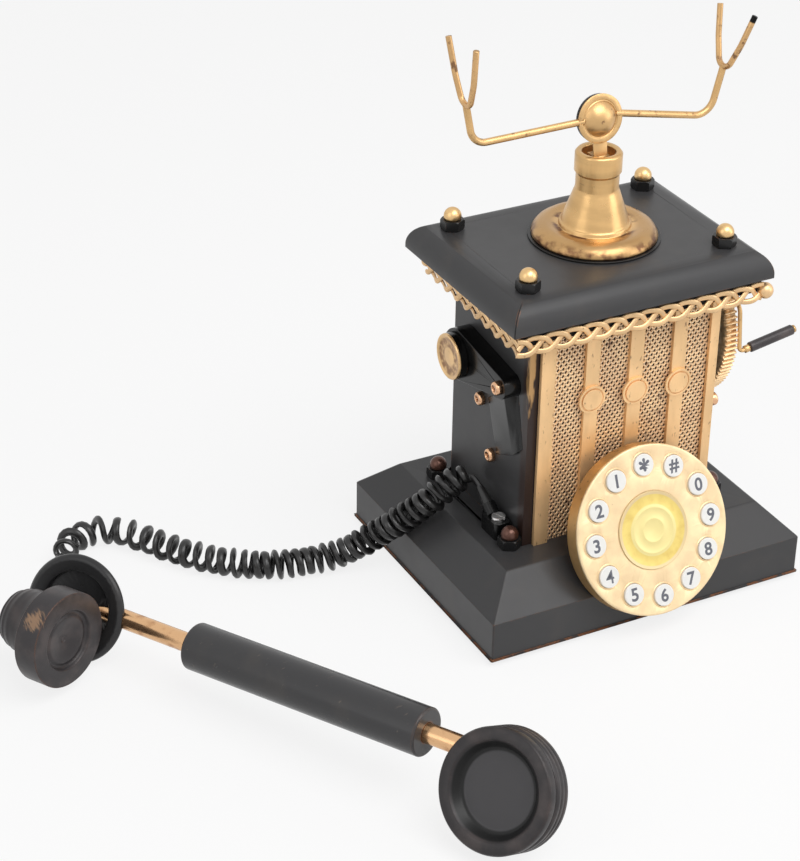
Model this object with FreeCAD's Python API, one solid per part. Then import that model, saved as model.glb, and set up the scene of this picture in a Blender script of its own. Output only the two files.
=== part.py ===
import FreeCAD, Part
import math
import os

# A desk telephone in the old French style: a tower on a wide base, a two-armed
# cradle on a turned finial, a round keypad, a side crank and a handset on a curly cord.
# Frame: X to the right along the front, -Y towards the user, Z up, millimetres.
# The origin is on the table, under the middle of the base.

V = FreeCAD.Vector
X_AXIS = V(1, 0, 0)
Y_AXIS = V(0, 1, 0)
Z_AXIS = V(0, 0, 1)

# Common stock
sheet = 1.2
running_gap = 0.05
free_gap = 0.3
hole_gap = 0.2
thread_radius = 2.5

# Base
base_width = 170.0
base_depth = 140.5
feet_height = 2.5
foot_radius = 6.0
foot_taper = 0.85
foot_inset = 9.0
skirt_height = 20.3
slope_height = 15.7
plateau_width = 139.0
plateau_depth = 107.0
lip_width = 0.8
lip_height = 1.2
bottom_plate_thickness = 1.5
wire_window_width = 70.0
wire_window_depth = 26.0

# Tower
tower_left = -52.4
tower_right = 49.2
tower_depth = 70.0
tower_front = -38.5
flange_width = 7.0

# Lid
lid_width = 138.0
lid_depth = 103.7
lid_centre_x = 1.0
lid_centre_y = 2.05
lid_rim_z = 157.1
lid_roll_height = 13.6
lid_roll_width = 12.0
lid_frame_thickness = 2.5
lid_frame_gap = 0.1

# Hex nuts and the ball-headed bolts above them
nut_flats = 10.0
nut_height = 5.0
ball_radius = 4.2
ball_sink = 2.8
lid_bolt_inset = 4.8
base_bolt_centre = -1.6
base_bolt_x = 56.0
base_bolt_front = -35.6
base_bolt_back = 35.0

# Braid trim under the lid
trim_inset_left = 3.6
trim_inset_right = 3.8
trim_inset_front = 1.5
trim_inset_back = 8.9
trim_drop = 12.3
trim_band_height = 10.2
trim_thickness = 1.4
trim_margin = 1.5
tab_width = 8.0
tab_offset = 15.0
trim_repeat = 10.4
trim_hole = 2.8
trim_ball_radius = 3.9
trim_ball_reach = 1.6

# Grille
grille_left = -47.6
grille_right = 48.2
grille_top = 150.0
mesh_thickness = 0.6
strip_thickness = 1.9
strip_width = 7.4
strip_pitch = 23.5
right_strip_width = 4.8
boss_z = 111.2
boss_fall = 1.15
boss_radius = 7.0
boss_height = 1.0
boss_step_radius = 5.3
boss_step_height = 0.35
boss_groove = 0.6
diamond_width = 3.9
diamond_height = 4.6
diamond_bar = 0.9
slot_margin = 4.0

# Sounder behind the grille
speaker_z = 120.0
speaker_flange = 1.5
speaker_rim = 1.5
speaker_depth = 11.0

# Finial
finial_x = 3.5
finial_y = 2.0
washer_radius = 31.0
washer_thickness = 1.0
finial_flange_radius = 29.4
finial_bead_radius = 16.8
finial_cone_radius = 15.9
finial_neck_radius = 10.1
finial_collar_radius = 11.0
finial_height = 41.8
finial_recess_radius = 7.6
finial_recess_depth = 9.0
finial_cavity_radius = 8.2
finial_ceiling = 25.5

# Cradle
stem_radius = 3.0
stem_flange_radius = 6.6
stem_flange_thickness = 1.5
stem_bottom_z = 148.0
cradle_travel = 5.0
travel_spare = 0.5
bridge_thickness = 2.0
tongue_half_width = 3.4
hub_x = 2.5
hub_z = 229.2
hub_lean = 9.0
hub_radius = 11.4
hub_thickness = 1.0
hub_front_gap = 0.5
hub_back_gap = 0.7
hub_dome_radius = 8.0
hub_dome_height = 4.3
hub_groove_width = 1.0
hub_groove_depth = 0.5
back_disc_radius = 11.0
back_disc_thickness = 1.2
arm_radius = 1.65
arm_bend = 8.5
arm_start = 8.4
left_arm_reach = 65.1
left_arm_lift = 0.0
left_arm_drop = 0.9
left_fork_reach = 69.1
left_fork_rise = 18.7
right_arm_reach = 60.2
right_arm_lift = 2.7
right_arm_drop = 9.7
right_fork_reach = 65.9
right_fork_rise = 13.8
fork_rod_radius = 1.4
fork_bottom_bend = 4.5
fork_knee_bend = 25.0
fork_foot_half = 3.5
fork_knee_half = 7.6
fork_knee_height = 12.0
fork_tip_half = 10.5
left_fork_height = 28.7
left_fork_lean = -2.75
left_fork_twist = 1.05
right_fork_height = 26.2
right_fork_lean = 5.2
right_fork_twist = 2.3
spring_wire = 0.5
spring_radius = 5.2
spring_turns = 7

# Dial
dial_set_back = 1.25
dial_z = 50.2
dial_tilt = 23.2
dial_radius = 40.5
dial_depth = 9.5
dial_face_thickness = 1.6
dial_wall = 1.5
dial_disc_radius = 18.6
dial_disc_thickness = 0.8
dial_disc_recess = 0.4
key_count = 12
key_ring_radius = 31.4
key_radius = 5.2
key_gap = 0.15
key_flange = 0.9
key_flange_thickness = 0.8
key_proud = 1.3
key_depth = 3.4
key_travel = 1.1
board_thickness = 1.6
board_clearance = 0.5
neck_radius = 11.0

# Crank, gear and magneto
gear_y = 2.0
gear_z = 119.5
gear_module = 0.825
gear_teeth = 96
pinion_teeth = 16
gear_width = 6.3
pinion_width = 5.8
gear_stand_off = 6.0
gear_web_depth = 1.5
gear_web_radius = 34.0
mesh_angle = 270.0
mesh_slack = 0.15
axle_radius = 3.0
axle_length = 25.0
axle_collar_radius = 5.0
bush_wall = 2.0
bush_flange = 1.5
bush_flange_thickness = 1.5
crank_hub_radius = 6.0
crank_hub_height = 2.6
crank_rod_radius = 1.05
crank_rod_gap = 0.2
crank_elbow_forward = 37.1
crank_elbow_up = 24.0
crank_elbow_bend = 6.0
crank_throw = 40.3
crank_drop = 4.8
crank_drop_bend = 2.0
grip_tilt = 9.7
grip_length = 24.5
grip_radius = 2.5
ferrule_radius = 1.8
ferrule_length = 2.4
pinion_shaft_radius = 2.0
armature_radius = 6.4
armature_length = 32.0
armature_x = -8.0
armature_gap = 0.5
magneto_end = 3.0
magneto_height = 32.0
magneto_depth = 27.0

# Cover, knob and eyelets on the left wall
cover_depth = 8.5
cover_back_y = 13.7
cover_back_z = 117.2
cover_back_radius = 12.8
cover_tip_y = -26.0
cover_tip_z = 119.5
cover_tip_radius = 5.6
apron_height = 3.2
apron_low_share = 0.6
knob_radius = 11.2
knob_height = 3.6
knob_cap_thickness = 1.2
knob_shaft_radius = 2.5
control_size = 17.0
control_depth = 9.0
knob_rim = 1.4
eyelet_radius = 3.3
eyelet_hole = 1.3
eyelet_wall = 0.9
eyelet_height = 2.8
right_eyelet_y = -34.9
right_eyelet_z = 90.2
right_eyelet_height = 4.6

# Corners of the cover's apron and the eyelets beside it: back and up from the middle of the cover's tip
apron_top_back = (24.2, -19.3)
apron_low_back = (14.5, -45.5)
apron_low_front = (-9.5, -30.0)
apron_top_front = (-3.0, 0.0)
apron_ridge_top = (4.0, -6.0)
apron_ridge_low = (-3.5, -36.0)
upper_eyelet = (29.6, -22.5)
lower_eyelet = (18.4, -47.5)

# Cord
cord_radius = 1.6
coil_radius = 5.5
cord_end_gap = 0.1
coil_start = 14.0
coil_end_tail = 62.0
pitch_near = 4.9
pitch_far = 8.4
lead_pitch = 4.5
ramp_turns = 1.25
clamp_x = -57.4
clamp_front = -29.6
clamp_back = -14.4
clamp_width = 8.4
clamp_height = 8.6
clamp_screw_y = -24.4
sleeve_radius = 3.4
sleeve_length = 6.0
sleeve_z = 49.6
screw_head_radius = 3.3
screw_head_height = 1.8

# Handset, in its own frame: x along the rod from mouth to ear, z out of the ear face
handset_yaw = -62.4
handset_roll = 61.8
handset_x = -244.4
handset_y = 30.8
rod_radius = 4.5
rod_bore = 1.5
rod_start = -6.0
rod_seat = 4.0
grip_start = 65.6
handset_grip_length = 126.0
handset_grip_radius = 11.0
ear_x = 233.5
ear_y = -11.0
ear_face_z = 10.0
ear_radius = 26.6
ear_thickness = 16.0
ear_cap_thickness = 6.0
ear_back_wall = 2.5
ear_dish_radius = 21.0
ear_dish_floor = 16.0
ear_dish_depth = 5.0
saucer_x = 1.4
saucer_y = -1.7
saucer_z = 10.0
saucer_radius = 25.4
saucer_tilt = 10.2
saucer_twist = 5.4
saucer_edge = 2.2
saucer_floor_radius = 17.2
saucer_floor_depth = 4.6
saucer_floor_thickness = 1.3
saucer_boss_radius = 7.0
saucer_boss_height = 9.0
mouth_x = 19.6
mouth_y = -10.9
mouth_z = 31.0
mouth_cap_radius = 22.3
mouth_cap_thickness = 12.4
mouth_length = 36.5
mouth_ring_radius = 14.6
mouth_groove_depth = 2.2
bulb_radius = 15.2
bulb_rise = 2.0
mouth_neck_radius = 6.0
mouth_foot_x = -3.0
mouth_foot_y = -6.0
capsule_radius = 15.0
capsule_thickness = 5.0

# Levels and places that follow from the sizes above
base_bottom = feet_height
skirt_top = base_bottom + skirt_height
plateau_z = skirt_top + slope_height
tower_back = tower_front + tower_depth
lid_left = lid_centre_x - lid_width / 2
lid_right = lid_centre_x + lid_width / 2
lid_front = lid_centre_y - lid_depth / 2
lid_back = lid_centre_y + lid_depth / 2
lid_bolt_x = lid_width / 2 - lid_roll_width - lid_bolt_inset
lid_bolt_front = lid_front + lid_roll_width + lid_bolt_inset
lid_bolt_back = lid_back - lid_roll_width - lid_bolt_inset
trim_left = lid_left + trim_inset_left
trim_right = lid_right - trim_inset_right
trim_front = lid_front + trim_inset_front
trim_back = lid_back - trim_inset_back
trim_bottom = lid_rim_z - trim_drop
lid_top = lid_rim_z + lid_roll_height
lid_under = lid_top - sheet
tower_top = lid_under - lid_frame_thickness
finial_z = lid_top + washer_thickness
gear_inner = tower_right + gear_stand_off
gear_outer = gear_inner + gear_width
gear_radius = gear_module * gear_teeth / 2
pinion_radius = gear_module * pinion_teeth / 2
mesh_distance = gear_radius + pinion_radius + mesh_slack
pinion_y = gear_y + mesh_distance * math.cos(math.radians(mesh_angle))
pinion_z = gear_z + mesh_distance * math.sin(math.radians(mesh_angle))
strip_front = tower_front - mesh_thickness - strip_thickness
dial_y = dial_set_back - base_depth / 2


# Shared shapes

def block(x0, x1, y0, y1, z0, z1):
    return Part.makeBox(x1 - x0, y1 - y0, z1 - z0, V(x0, y0, z0))


def bar(start, end, radius):
    run = end.sub(start)
    return Part.makeCylinder(radius, run.Length, start, run)


def tube(start, end, outer, inner):
    return bar(start, end, outer).cut(bar(start, end, inner))


def rectangle(width, depth, z):
    x = width / 2
    y = depth / 2
    return Part.makePolygon([V(-x, -y, z), V(x, -y, z), V(x, y, z), V(-x, y, z), V(-x, -y, z)])


def turned(outline):
    """A solid turned about Z from its (radius, height) outline."""
    points = [V(r, 0, z) for r, z in outline]
    face = Part.Face(Part.makePolygon(points + [points[0]]))
    return face.revolve(V(0, 0, 0), Z_AXIS, 360)


def rod_along(edges, radius):
    """A round rod along a wire of lines and arcs."""
    path = Part.Wire(edges)
    start = edges[0].valueAt(edges[0].FirstParameter)
    direction = edges[0].tangentAt(edges[0].FirstParameter)
    ring = Part.Wire(Part.makeCircle(radius, start, direction))
    return path.makePipeShell([ring], True, False)


def bent_path(points, radii):
    """Lines joined by tangent arcs: one radius for each inner point."""
    edges = []
    here = points[0]
    for before, corner, after, radius in zip(points, points[1:], points[2:], radii):
        into = corner.sub(before).normalize()
        out = after.sub(corner).normalize()
        half = into.getAngle(out) / 2
        back = radius * math.tan(half)
        first = corner.sub(V(into).multiply(back))
        last = corner.add(V(out).multiply(back))
        inward = out.sub(into).normalize()
        middle = corner.add(inward.multiply(radius / math.cos(half) - radius))
        edges.append(Part.LineSegment(here, first).toShape())
        edges.append(Part.Arc(first, middle, last).toShape())
        here = last
    edges.append(Part.LineSegment(here, points[-1]).toShape())
    return edges


def placed(shape, placement):
    copy = shape.copy()
    copy.Placement = placement.multiply(copy.Placement)
    return copy


def export(name, shapes):
    solids = []
    for shape in shapes:
        solids += shape.Solids
    for solid in solids:
        if not solid.isValid():
            print("not valid:", name)
    whole = solids[0] if len(solids) == 1 else Part.makeCompound(solids)
    whole.exportStep("parts/" + name + ".step")
    return whole


# Base: a folded sheet with an upright skirt, a sloping band and a flat top

def base_outer(inset):
    """The base as a solid; inset moves every wall in by that much."""
    fold = inset * math.tan(math.radians(22.5))
    wide = base_width - 2 * inset
    deep = base_depth - 2 * inset
    shoulder = rectangle(wide, deep, skirt_top - fold)
    top = rectangle(plateau_width - 2 * fold, plateau_depth - 2 * fold, plateau_z - inset)
    slope = Part.makeLoft([shoulder, top], True, True)
    skirt = block(-wide / 2, wide / 2, -deep / 2, deep / 2, base_bottom, skirt_top - fold)
    return skirt.fuse(slope).removeSplitter()


def window_y():
    """Front and back of the window that lets the wires through to the tower."""
    middle = (tower_front + tower_back) / 2 + flange_width
    return middle - wire_window_depth / 2, middle + wire_window_depth / 2


def four_places(centre, x, front, back):
    return [V(centre + side * x, y, 0) for side in (-1, 1) for y in (front, back)]


def base_bolt_places():
    return four_places(base_bolt_centre, base_bolt_x, base_bolt_front, base_bolt_back)


def lid_bolt_places():
    return four_places(0, lid_bolt_x, lid_bolt_front, lid_bolt_back)


def base_shell():
    shell = base_outer(0).cut(base_outer(sheet))
    lip = block(-base_width / 2 - lip_width, base_width / 2 + lip_width, -base_depth / 2 - lip_width,
                base_depth / 2 + lip_width, base_bottom, base_bottom + lip_height)
    inside = block(-base_width / 2 + sheet, base_width / 2 - sheet, -base_depth / 2 + sheet,
                   base_depth / 2 - sheet, base_bottom, base_bottom + lip_height)
    shell = shell.fuse(lip.cut(inside))
    front, back = window_y()
    window = block(-wire_window_width / 2, wire_window_width / 2, front, back, skirt_top, plateau_z + 1)
    shell = shell.cut(window)
    for place in base_bolt_places():
        hole = Part.makeCylinder(thread_radius + hole_gap, plateau_z, place)
        shell = shell.cut(hole)
    screw_hole = Part.makeCylinder(thread_radius / 2, plateau_z, V(clamp_x, clamp_screw_y, skirt_top))
    return shell.cut(screw_hole).removeSplitter()


def bottom_plate():
    x = base_width / 2 - sheet - free_gap
    y = base_depth / 2 - sheet - free_gap
    plate = block(-x, x, -y, y, base_bottom, base_bottom + bottom_plate_thickness)
    for place in base_bolt_places():
        plate = plate.cut(Part.makeCylinder(thread_radius, feet_height * 2 + bottom_plate_thickness, place))
    return plate


def rubber_feet():
    """Five tapered feet: one near each corner and one under the middle."""
    x = base_width / 2 - foot_inset
    y = base_depth / 2 - foot_inset
    places = four_places(0, x, -y, y) + [V(0, 0, 0)]
    return [Part.makeCone(foot_radius * foot_taper, foot_radius, feet_height, place) for place in places]


# Fasteners: a hex nut under a ball head, whose shank passes through both

def hex_nut(place, z):
    corner = nut_flats / 2 / math.cos(math.radians(30))
    points = []
    for i in range(7):
        angle = math.radians(60 * i + 30)
        points.append(V(corner * math.cos(angle), corner * math.sin(angle), 0))
    prism = Part.Face(Part.makePolygon(points)).extrude(V(0, 0, nut_height))
    rounding = Part.makeCone(corner - 0.6, corner + 0.6, 1.2, V(0, 0, 0))
    rounding = rounding.fuse(Part.makeCylinder(corner + 0.6, nut_height - 2.4, V(0, 0, 1.2)))
    rounding = rounding.fuse(Part.makeCone(corner + 0.6, corner - 0.6, 1.2, V(0, 0, nut_height - 1.2)))
    nut = prism.common(rounding).cut(Part.makeCylinder(thread_radius, nut_height))
    nut.translate(V(place.x, place.y, z))
    return nut


def ball_bolt(place, seat, bottom):
    """The ball stands on the nut that is on the seat; the shank ends at the bottom level."""
    top = seat + nut_height
    ball = Part.makeSphere(ball_radius, V(place.x, place.y, top + ball_radius - ball_sink))
    below = block(place.x - 10, place.x + 10, place.y - 10, place.y + 10, top - 20, top)
    shank = Part.makeCylinder(thread_radius, top - bottom + 0.5, V(place.x, place.y, bottom))
    return ball.cut(below).fuse(shank).removeSplitter()


def hex_nuts():
    upper = [hex_nut(place, lid_top) for place in lid_bolt_places()]
    return upper + [hex_nut(place, plateau_z) for place in base_bolt_places()]


def lid_ball_bolts():
    return [ball_bolt(p, lid_top, tower_top) for p in lid_bolt_places()]


def base_ball_bolts():
    return [ball_bolt(p, plateau_z, base_bottom) for p in base_bolt_places()]


# Tower: four sheet walls with folded flanges, slots behind the mesh and holes for the shafts

def strip_edges():
    """Left and right edge of each grille strip; the last one is narrower."""
    last = grille_right - right_strip_width
    edges = []
    left = grille_left
    while left + strip_width < last:
        edges.append((left, left + strip_width))
        left += strip_pitch
    return edges + [(last, grille_right)]


def panels():
    """Left and right edge of each mesh panel between two strips."""
    strips = strip_edges()
    return [(a[1], b[0]) for a, b in zip(strips, strips[1:])]


def across(x0, x1, y, z, radius):
    return Part.makeCylinder(radius, x1 - x0, V(x0, y, z), X_AXIS)


def tower_shell():
    outer = block(tower_left, tower_right, tower_front, tower_back, plateau_z, tower_top)
    inner = block(tower_left + sheet, tower_right - sheet, tower_front + sheet, tower_back - sheet,
                  plateau_z + sheet, tower_top - sheet)
    mouth = block(tower_left + flange_width, tower_right - flange_width, tower_front + flange_width,
                  tower_back - flange_width, plateau_z - 1, tower_top + 1)
    shell = outer.cut(inner).cut(mouth)
    for left, right in panels():
        slot = block(left, right, tower_front - 1, tower_front + sheet + 0.5, plateau_z + slot_margin,
                     grille_top - slot_margin)
        shell = shell.cut(slot)
    right = tower_right
    shell = shell.cut(across(right - 5, right + 5, gear_y, gear_z, axle_radius + bush_wall))
    shell = shell.cut(across(right - 5, right + 5, pinion_y, pinion_z, pinion_shaft_radius + bush_wall))
    left = tower_left
    shell = shell.cut(across(left - 5, left + 5, cover_back_y, cover_back_z, knob_shaft_radius + hole_gap))
    for offset in (upper_eyelet, lower_eyelet):
        spot = wall_spot(offset, 0)
        shell = shell.cut(across(left - 5, left + 5, spot.y, spot.z, eyelet_hole + eyelet_wall))
    shell = shell.cut(across(right - 5, right + 5, right_eyelet_y, right_eyelet_z, eyelet_hole + eyelet_wall))
    for place in lid_bolt_places():
        low = V(place.x, place.y, tower_top - sheet - 1)
        shell = shell.cut(bar(low, V(place.x, place.y, lid_top), thread_radius + free_gap))
    return shell


# Lid: a flat sheet whose four edges roll down, mitred at the corners

def lid_profile(half, centre, inset, below):
    """Outline across the lid: two upright rims, two rolled shoulders and the flat top."""
    low = lid_rim_z - below
    rim = half - inset
    flat = half - lid_roll_width
    shoulder = lid_top - lid_roll_width
    top = lid_top - inset
    reach = (lid_roll_width - inset) * math.sqrt(0.5)
    roll = [(rim, shoulder), (flat + reach, shoulder + reach), (flat, top)]
    left = [V(centre - x, 0, z) for x, z in roll]
    right = [V(centre + x, 0, z) for x, z in reversed(roll)]
    edges = [Part.Arc(*left).toShape(), Part.LineSegment(left[2], right[0]).toShape()]
    edges.append(Part.Arc(*right).toShape())
    corners = [right[2], V(centre + rim, 0, low), V(centre - rim, 0, low), left[0]]
    edges += [Part.LineSegment(a, b).toShape() for a, b in zip(corners, corners[1:])]
    return Part.Face(Part.Wire(edges))


def lid_solid(inset, below):
    length = lid_width + lid_depth
    along_y = lid_profile(lid_width / 2, lid_centre_x, inset, below).extrude(V(0, length, 0))
    along_y.translate(V(0, lid_centre_y - length / 2, 0))
    along_x = lid_profile(lid_depth / 2, lid_centre_y, inset, below).extrude(V(0, length, 0))
    along_x.rotate(V(0, 0, 0), Z_AXIS, -90)
    along_x = along_x.mirror(V(0, 0, 0), Y_AXIS)
    along_x.translate(V(lid_centre_x - length / 2, 0, 0))
    return along_y.common(along_x)


def lid_sheet():
    below_rim = 5
    return lid_solid(0, 0).cut(lid_solid(sheet, below_rim))


def top_hole(x, y, radius):
    """A cutter through the lid's flat part and the frame plate under it."""
    return bar(V(x, y, tower_top - 1), V(x, y, lid_top + 1), radius)


def lid():
    cover = lid_sheet()
    for place in lid_bolt_places():
        cover = cover.cut(top_hole(place.x, place.y, thread_radius + hole_gap))
    return cover.cut(top_hole(finial_x, finial_y, stem_radius + hole_gap))


def lid_frame():
    """The flat plate that closes the tower and takes the lid's bolts."""
    edge = lid_roll_width + lid_frame_gap
    plate = block(lid_left + edge, lid_right - edge, lid_front + edge, lid_back - edge, tower_top, lid_under)
    for place in lid_bolt_places():
        plate = plate.cut(top_hole(place.x, place.y, thread_radius))
    return plate.cut(top_hole(finial_x, finial_y, stem_radius + hole_gap))


# Braid trim: an openwork band along the front and the left side, with a ball at each end

def trim_band(length):
    """The band laid out flat along +X from its corner, holed as the braid is."""
    seat = lid_rim_z + trim_margin
    corners = [(0, trim_bottom), (length, trim_bottom), (length, seat), (0, seat), (0, trim_bottom)]
    wires = [Part.makePolygon([V(x, 0, z) for x, z in corners])]
    middle = trim_bottom + trim_band_height / 2
    small = trim_hole / 2
    count = int((length - trim_repeat / 2) / trim_repeat)
    for i in range(count):
        x = trim_repeat * (i + 0.75)
        holes = [(x, middle, trim_hole), (x + trim_repeat / 2, middle + trim_hole, small),
                 (x + trim_repeat / 2, middle - trim_hole, small)]
        for hole_x, hole_z, size in holes:
            ring = [V(hole_x - size, 0, hole_z), V(hole_x, 0, hole_z + size), V(hole_x + size, 0, hole_z),
                    V(hole_x, 0, hole_z - size)]
            wires.append(Part.makePolygon(ring + [ring[0]]))
    return Part.Face(wires).extrude(V(0, trim_thickness, 0))


def braid_trim():
    front = trim_band(trim_right - trim_left)
    front.translate(V(trim_left, trim_front, 0))
    side = trim_band(trim_back - trim_front)
    side.rotate(V(0, 0, 0), Z_AXIS, 90)
    side.translate(V(trim_left + trim_thickness, trim_front, 0))
    middle = trim_bottom + trim_band_height / 2
    ends = [V(trim_right + trim_ball_reach, trim_front, middle),
            V(trim_left, trim_back + trim_ball_reach, middle)]
    balls = [Part.makeSphere(trim_ball_radius, end) for end in ends]
    tab_top = lid_rim_z + trim_margin
    tabs = []
    for y in (trim_front + tab_offset, trim_back - tab_offset):
        tabs.append(block(lid_left + sheet, trim_left, y, y + tab_width, lid_rim_z, tab_top))
    for x in (trim_left + tab_offset, trim_right - tab_offset - tab_width):
        tabs.append(block(x, x + tab_width, lid_front + sheet, trim_front, lid_rim_z, tab_top))
    return front.fuse([side] + balls + tabs).cut(lid_sheet()).removeSplitter()


# Grille: a holed sheet on the tower's front, five flat strips over it, three with a boss

def diamond(x, z, half_width, half_height):
    y = tower_front
    points = [V(x - half_width, y, z), V(x, y, z + half_height),
              V(x + half_width, y, z), V(x, y, z - half_height)]
    return Part.makePolygon(points + [points[0]])


def grille_mesh():
    corners = [(grille_left, plateau_z), (grille_right, plateau_z), (grille_right, grille_top),
               (grille_left, grille_top), (grille_left, plateau_z)]
    wires = [Part.makePolygon([V(x, tower_front, z) for x, z in corners])]
    pitch_x = diamond_width + diamond_bar
    pitch_z = diamond_height + diamond_bar
    for left, right in panels():
        rows = int((grille_top - plateau_z - 2 * slot_margin) / (pitch_z / 2)) - 1
        columns = int((right - left - 0.6) / pitch_x)
        start = (left + right) / 2 - (columns - 1) * pitch_x / 2
        for row in range(rows):
            z = plateau_z + slot_margin + (row + 1) * pitch_z / 2
            shift = row % 2
            for column in range(columns - shift):
                centre = start + (column + shift / 2) * pitch_x
                wires.append(diamond(centre, z, diamond_width / 2, diamond_height / 2))
    return Part.Face(wires).extrude(V(0, -mesh_thickness, 0))


def grille_boss():
    """A round boss, a groove and a slightly higher disc within it, out from the XZ plane towards the user."""
    top = boss_height + boss_step_height
    groove = boss_step_radius + boss_groove
    outline = [(0, 0), (boss_radius, 0), (boss_radius, boss_height), (groove, boss_height),
               (groove, boss_height - boss_groove), (boss_step_radius, boss_height - boss_groove),
               (boss_step_radius, top), (0, top)]
    boss = turned(outline)
    boss.rotate(V(0, 0, 0), X_AXIS, 90)
    return boss


def grille_strips():
    strips = []
    edges = strip_edges()
    for i, (left, right) in enumerate(edges):
        strip = block(left, right, strip_front, tower_front - mesh_thickness, plateau_z, grille_top)
        if 0 < i < len(edges) - 1:
            boss = grille_boss()
            boss.translate(V((left + right) / 2, strip_front, boss_z - boss_fall * (i - 1)))
            strip = strip.fuse(boss).removeSplitter()
        strips.append(strip)
    return strips


# Finial: a black washer and a turned brass piece that guides the cradle's stem

def finial_washer():
    ring = turned([(finial_cavity_radius, 0), (washer_radius, 0), (washer_radius, washer_thickness),
                   (finial_cavity_radius, washer_thickness)])
    ring.translate(V(finial_x, finial_y, lid_top))
    return ring


def finial():
    r = finial_flange_radius
    bead = finial_bead_radius
    cone = finial_cone_radius
    neck = finial_neck_radius
    collar = finial_collar_radius
    top = finial_height
    floor = top - finial_recess_depth
    outline = [(finial_cavity_radius, 0), (r, 0), (r + 0.2, 0.8), (r - 0.3, 2.2), (r - 1.5, 3.8),
               (r - 3.6, 5.2), (r - 6.2, 5.9), (r - 8.6, 5.6), (bead + 0.6, 4.9), (bead, 5.3), (bead, 6.6), (bead - 0.7, 7.1),
               (cone, 7.2), (cone - 0.3, 8.0), (neck + 0.8, 21.6), (neck + 0.3, 22.9), (neck, 24.2),
               (neck, top - 11.0), (collar - 0.9, top - 10.6), (collar, top - 9.6), (collar, top - 1.2),
               (collar - 1.0, top), (finial_recess_radius + 0.8, top), (finial_recess_radius, top - 0.8),
               (finial_recess_radius, floor), (stem_radius + running_gap, floor),
               (stem_radius + running_gap, finial_ceiling), (finial_cavity_radius, finial_ceiling)]
    body = turned(outline)
    body.translate(V(finial_x, finial_y, finial_z))
    return body


# Cradle: stem, hub discs leaning back, two arms and two forks, rolled a little to one side

def hub_placement():
    lean = FreeCAD.Rotation(X_AXIS, 90 - hub_lean)
    return FreeCAD.Placement(V(hub_x, finial_y, hub_z), lean)


def cradle_hub():
    """Brass ring with a grooved dome, slotted for the left arm; the right arm ends behind it."""
    face = hub_front_gap + hub_thickness
    floor = V(0, 0, face - hub_groove_depth)
    disc = Part.makeCylinder(hub_radius, hub_thickness, V(0, 0, hub_front_gap))
    disc = disc.cut(tube(floor, V(0, 0, face + 1), hub_dome_radius + hub_groove_width, hub_dome_radius))
    bulge = (hub_dome_radius ** 2 + hub_dome_height ** 2) / (2 * hub_dome_height)
    dome = Part.makeSphere(bulge, V(0, 0, face + hub_dome_height - bulge))
    above = Part.makeCylinder(hub_radius, hub_dome_height + 1, floor)
    ring = placed(disc.fuse(dome.common(above)).removeSplitter(), hub_placement())
    inner, outer, _ = arm_points(-1)
    return ring.cut(bar(inner, outer, arm_radius + running_gap))


def cradle_back_disc():
    back = V(0, 0, -hub_back_gap - back_disc_thickness)
    disc = Part.makeCylinder(back_disc_radius, back_disc_thickness, back)
    return placed(disc, hub_placement())


def arm_points(side):
    """Inner end, lower corner and fork base of one arm."""
    hub = V(hub_x, finial_y, hub_z)
    reach, lift, drop = left_arm_reach, left_arm_lift, left_arm_drop
    fork_reach, fork_rise = left_fork_reach, left_fork_rise
    if side > 0:
        reach, lift, drop = right_arm_reach, right_arm_lift, right_arm_drop
        fork_reach, fork_rise = right_fork_reach, right_fork_rise
    inner = hub.add(V(side * arm_start, 0, lift - (drop + lift) * arm_start / reach))
    return [inner, hub.add(V(side * reach, 0, -drop)), hub.add(V(side * fork_reach, 0, fork_rise))]


def cradle_fork(side):
    """A rod bent to a U that opens upwards; its far and near legs lean apart by the twist."""
    height, lean, twist = left_fork_height, left_fork_lean, left_fork_twist
    if side > 0:
        height, lean, twist = right_fork_height, right_fork_lean, right_fork_twist
    legs = []
    for end in (1, -1):
        x = lean - end * twist
        knee_share = fork_knee_height / height
        knee = V(x * knee_share, end * fork_knee_half, fork_knee_height)
        legs.append([V(x, end * fork_tip_half, height), knee, V(0, end * fork_foot_half, 0)])
    points = legs[0] + list(reversed(legs[1]))
    fork = rod_along(bent_path(points, [fork_knee_bend, fork_bottom_bend, fork_bottom_bend, fork_knee_bend]),
                     fork_rod_radius)
    fork.translate(arm_points(side)[2])
    return fork


def cradle_forks():
    return [cradle_fork(-1), cradle_fork(1)]


def cradle_arms():
    """Two rods held between the hub's discs; each bends up to carry its fork."""
    arms = []
    for side, fork in zip((-1, 1), cradle_forks()):
        rod = rod_along(bent_path(arm_points(side), [arm_bend]), arm_radius)
        arms.append(rod.cut(fork))
    hub_parts = cradle_hub().fuse(cradle_back_disc())
    return [arm.cut(hub_parts) for arm in arms]


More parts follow.
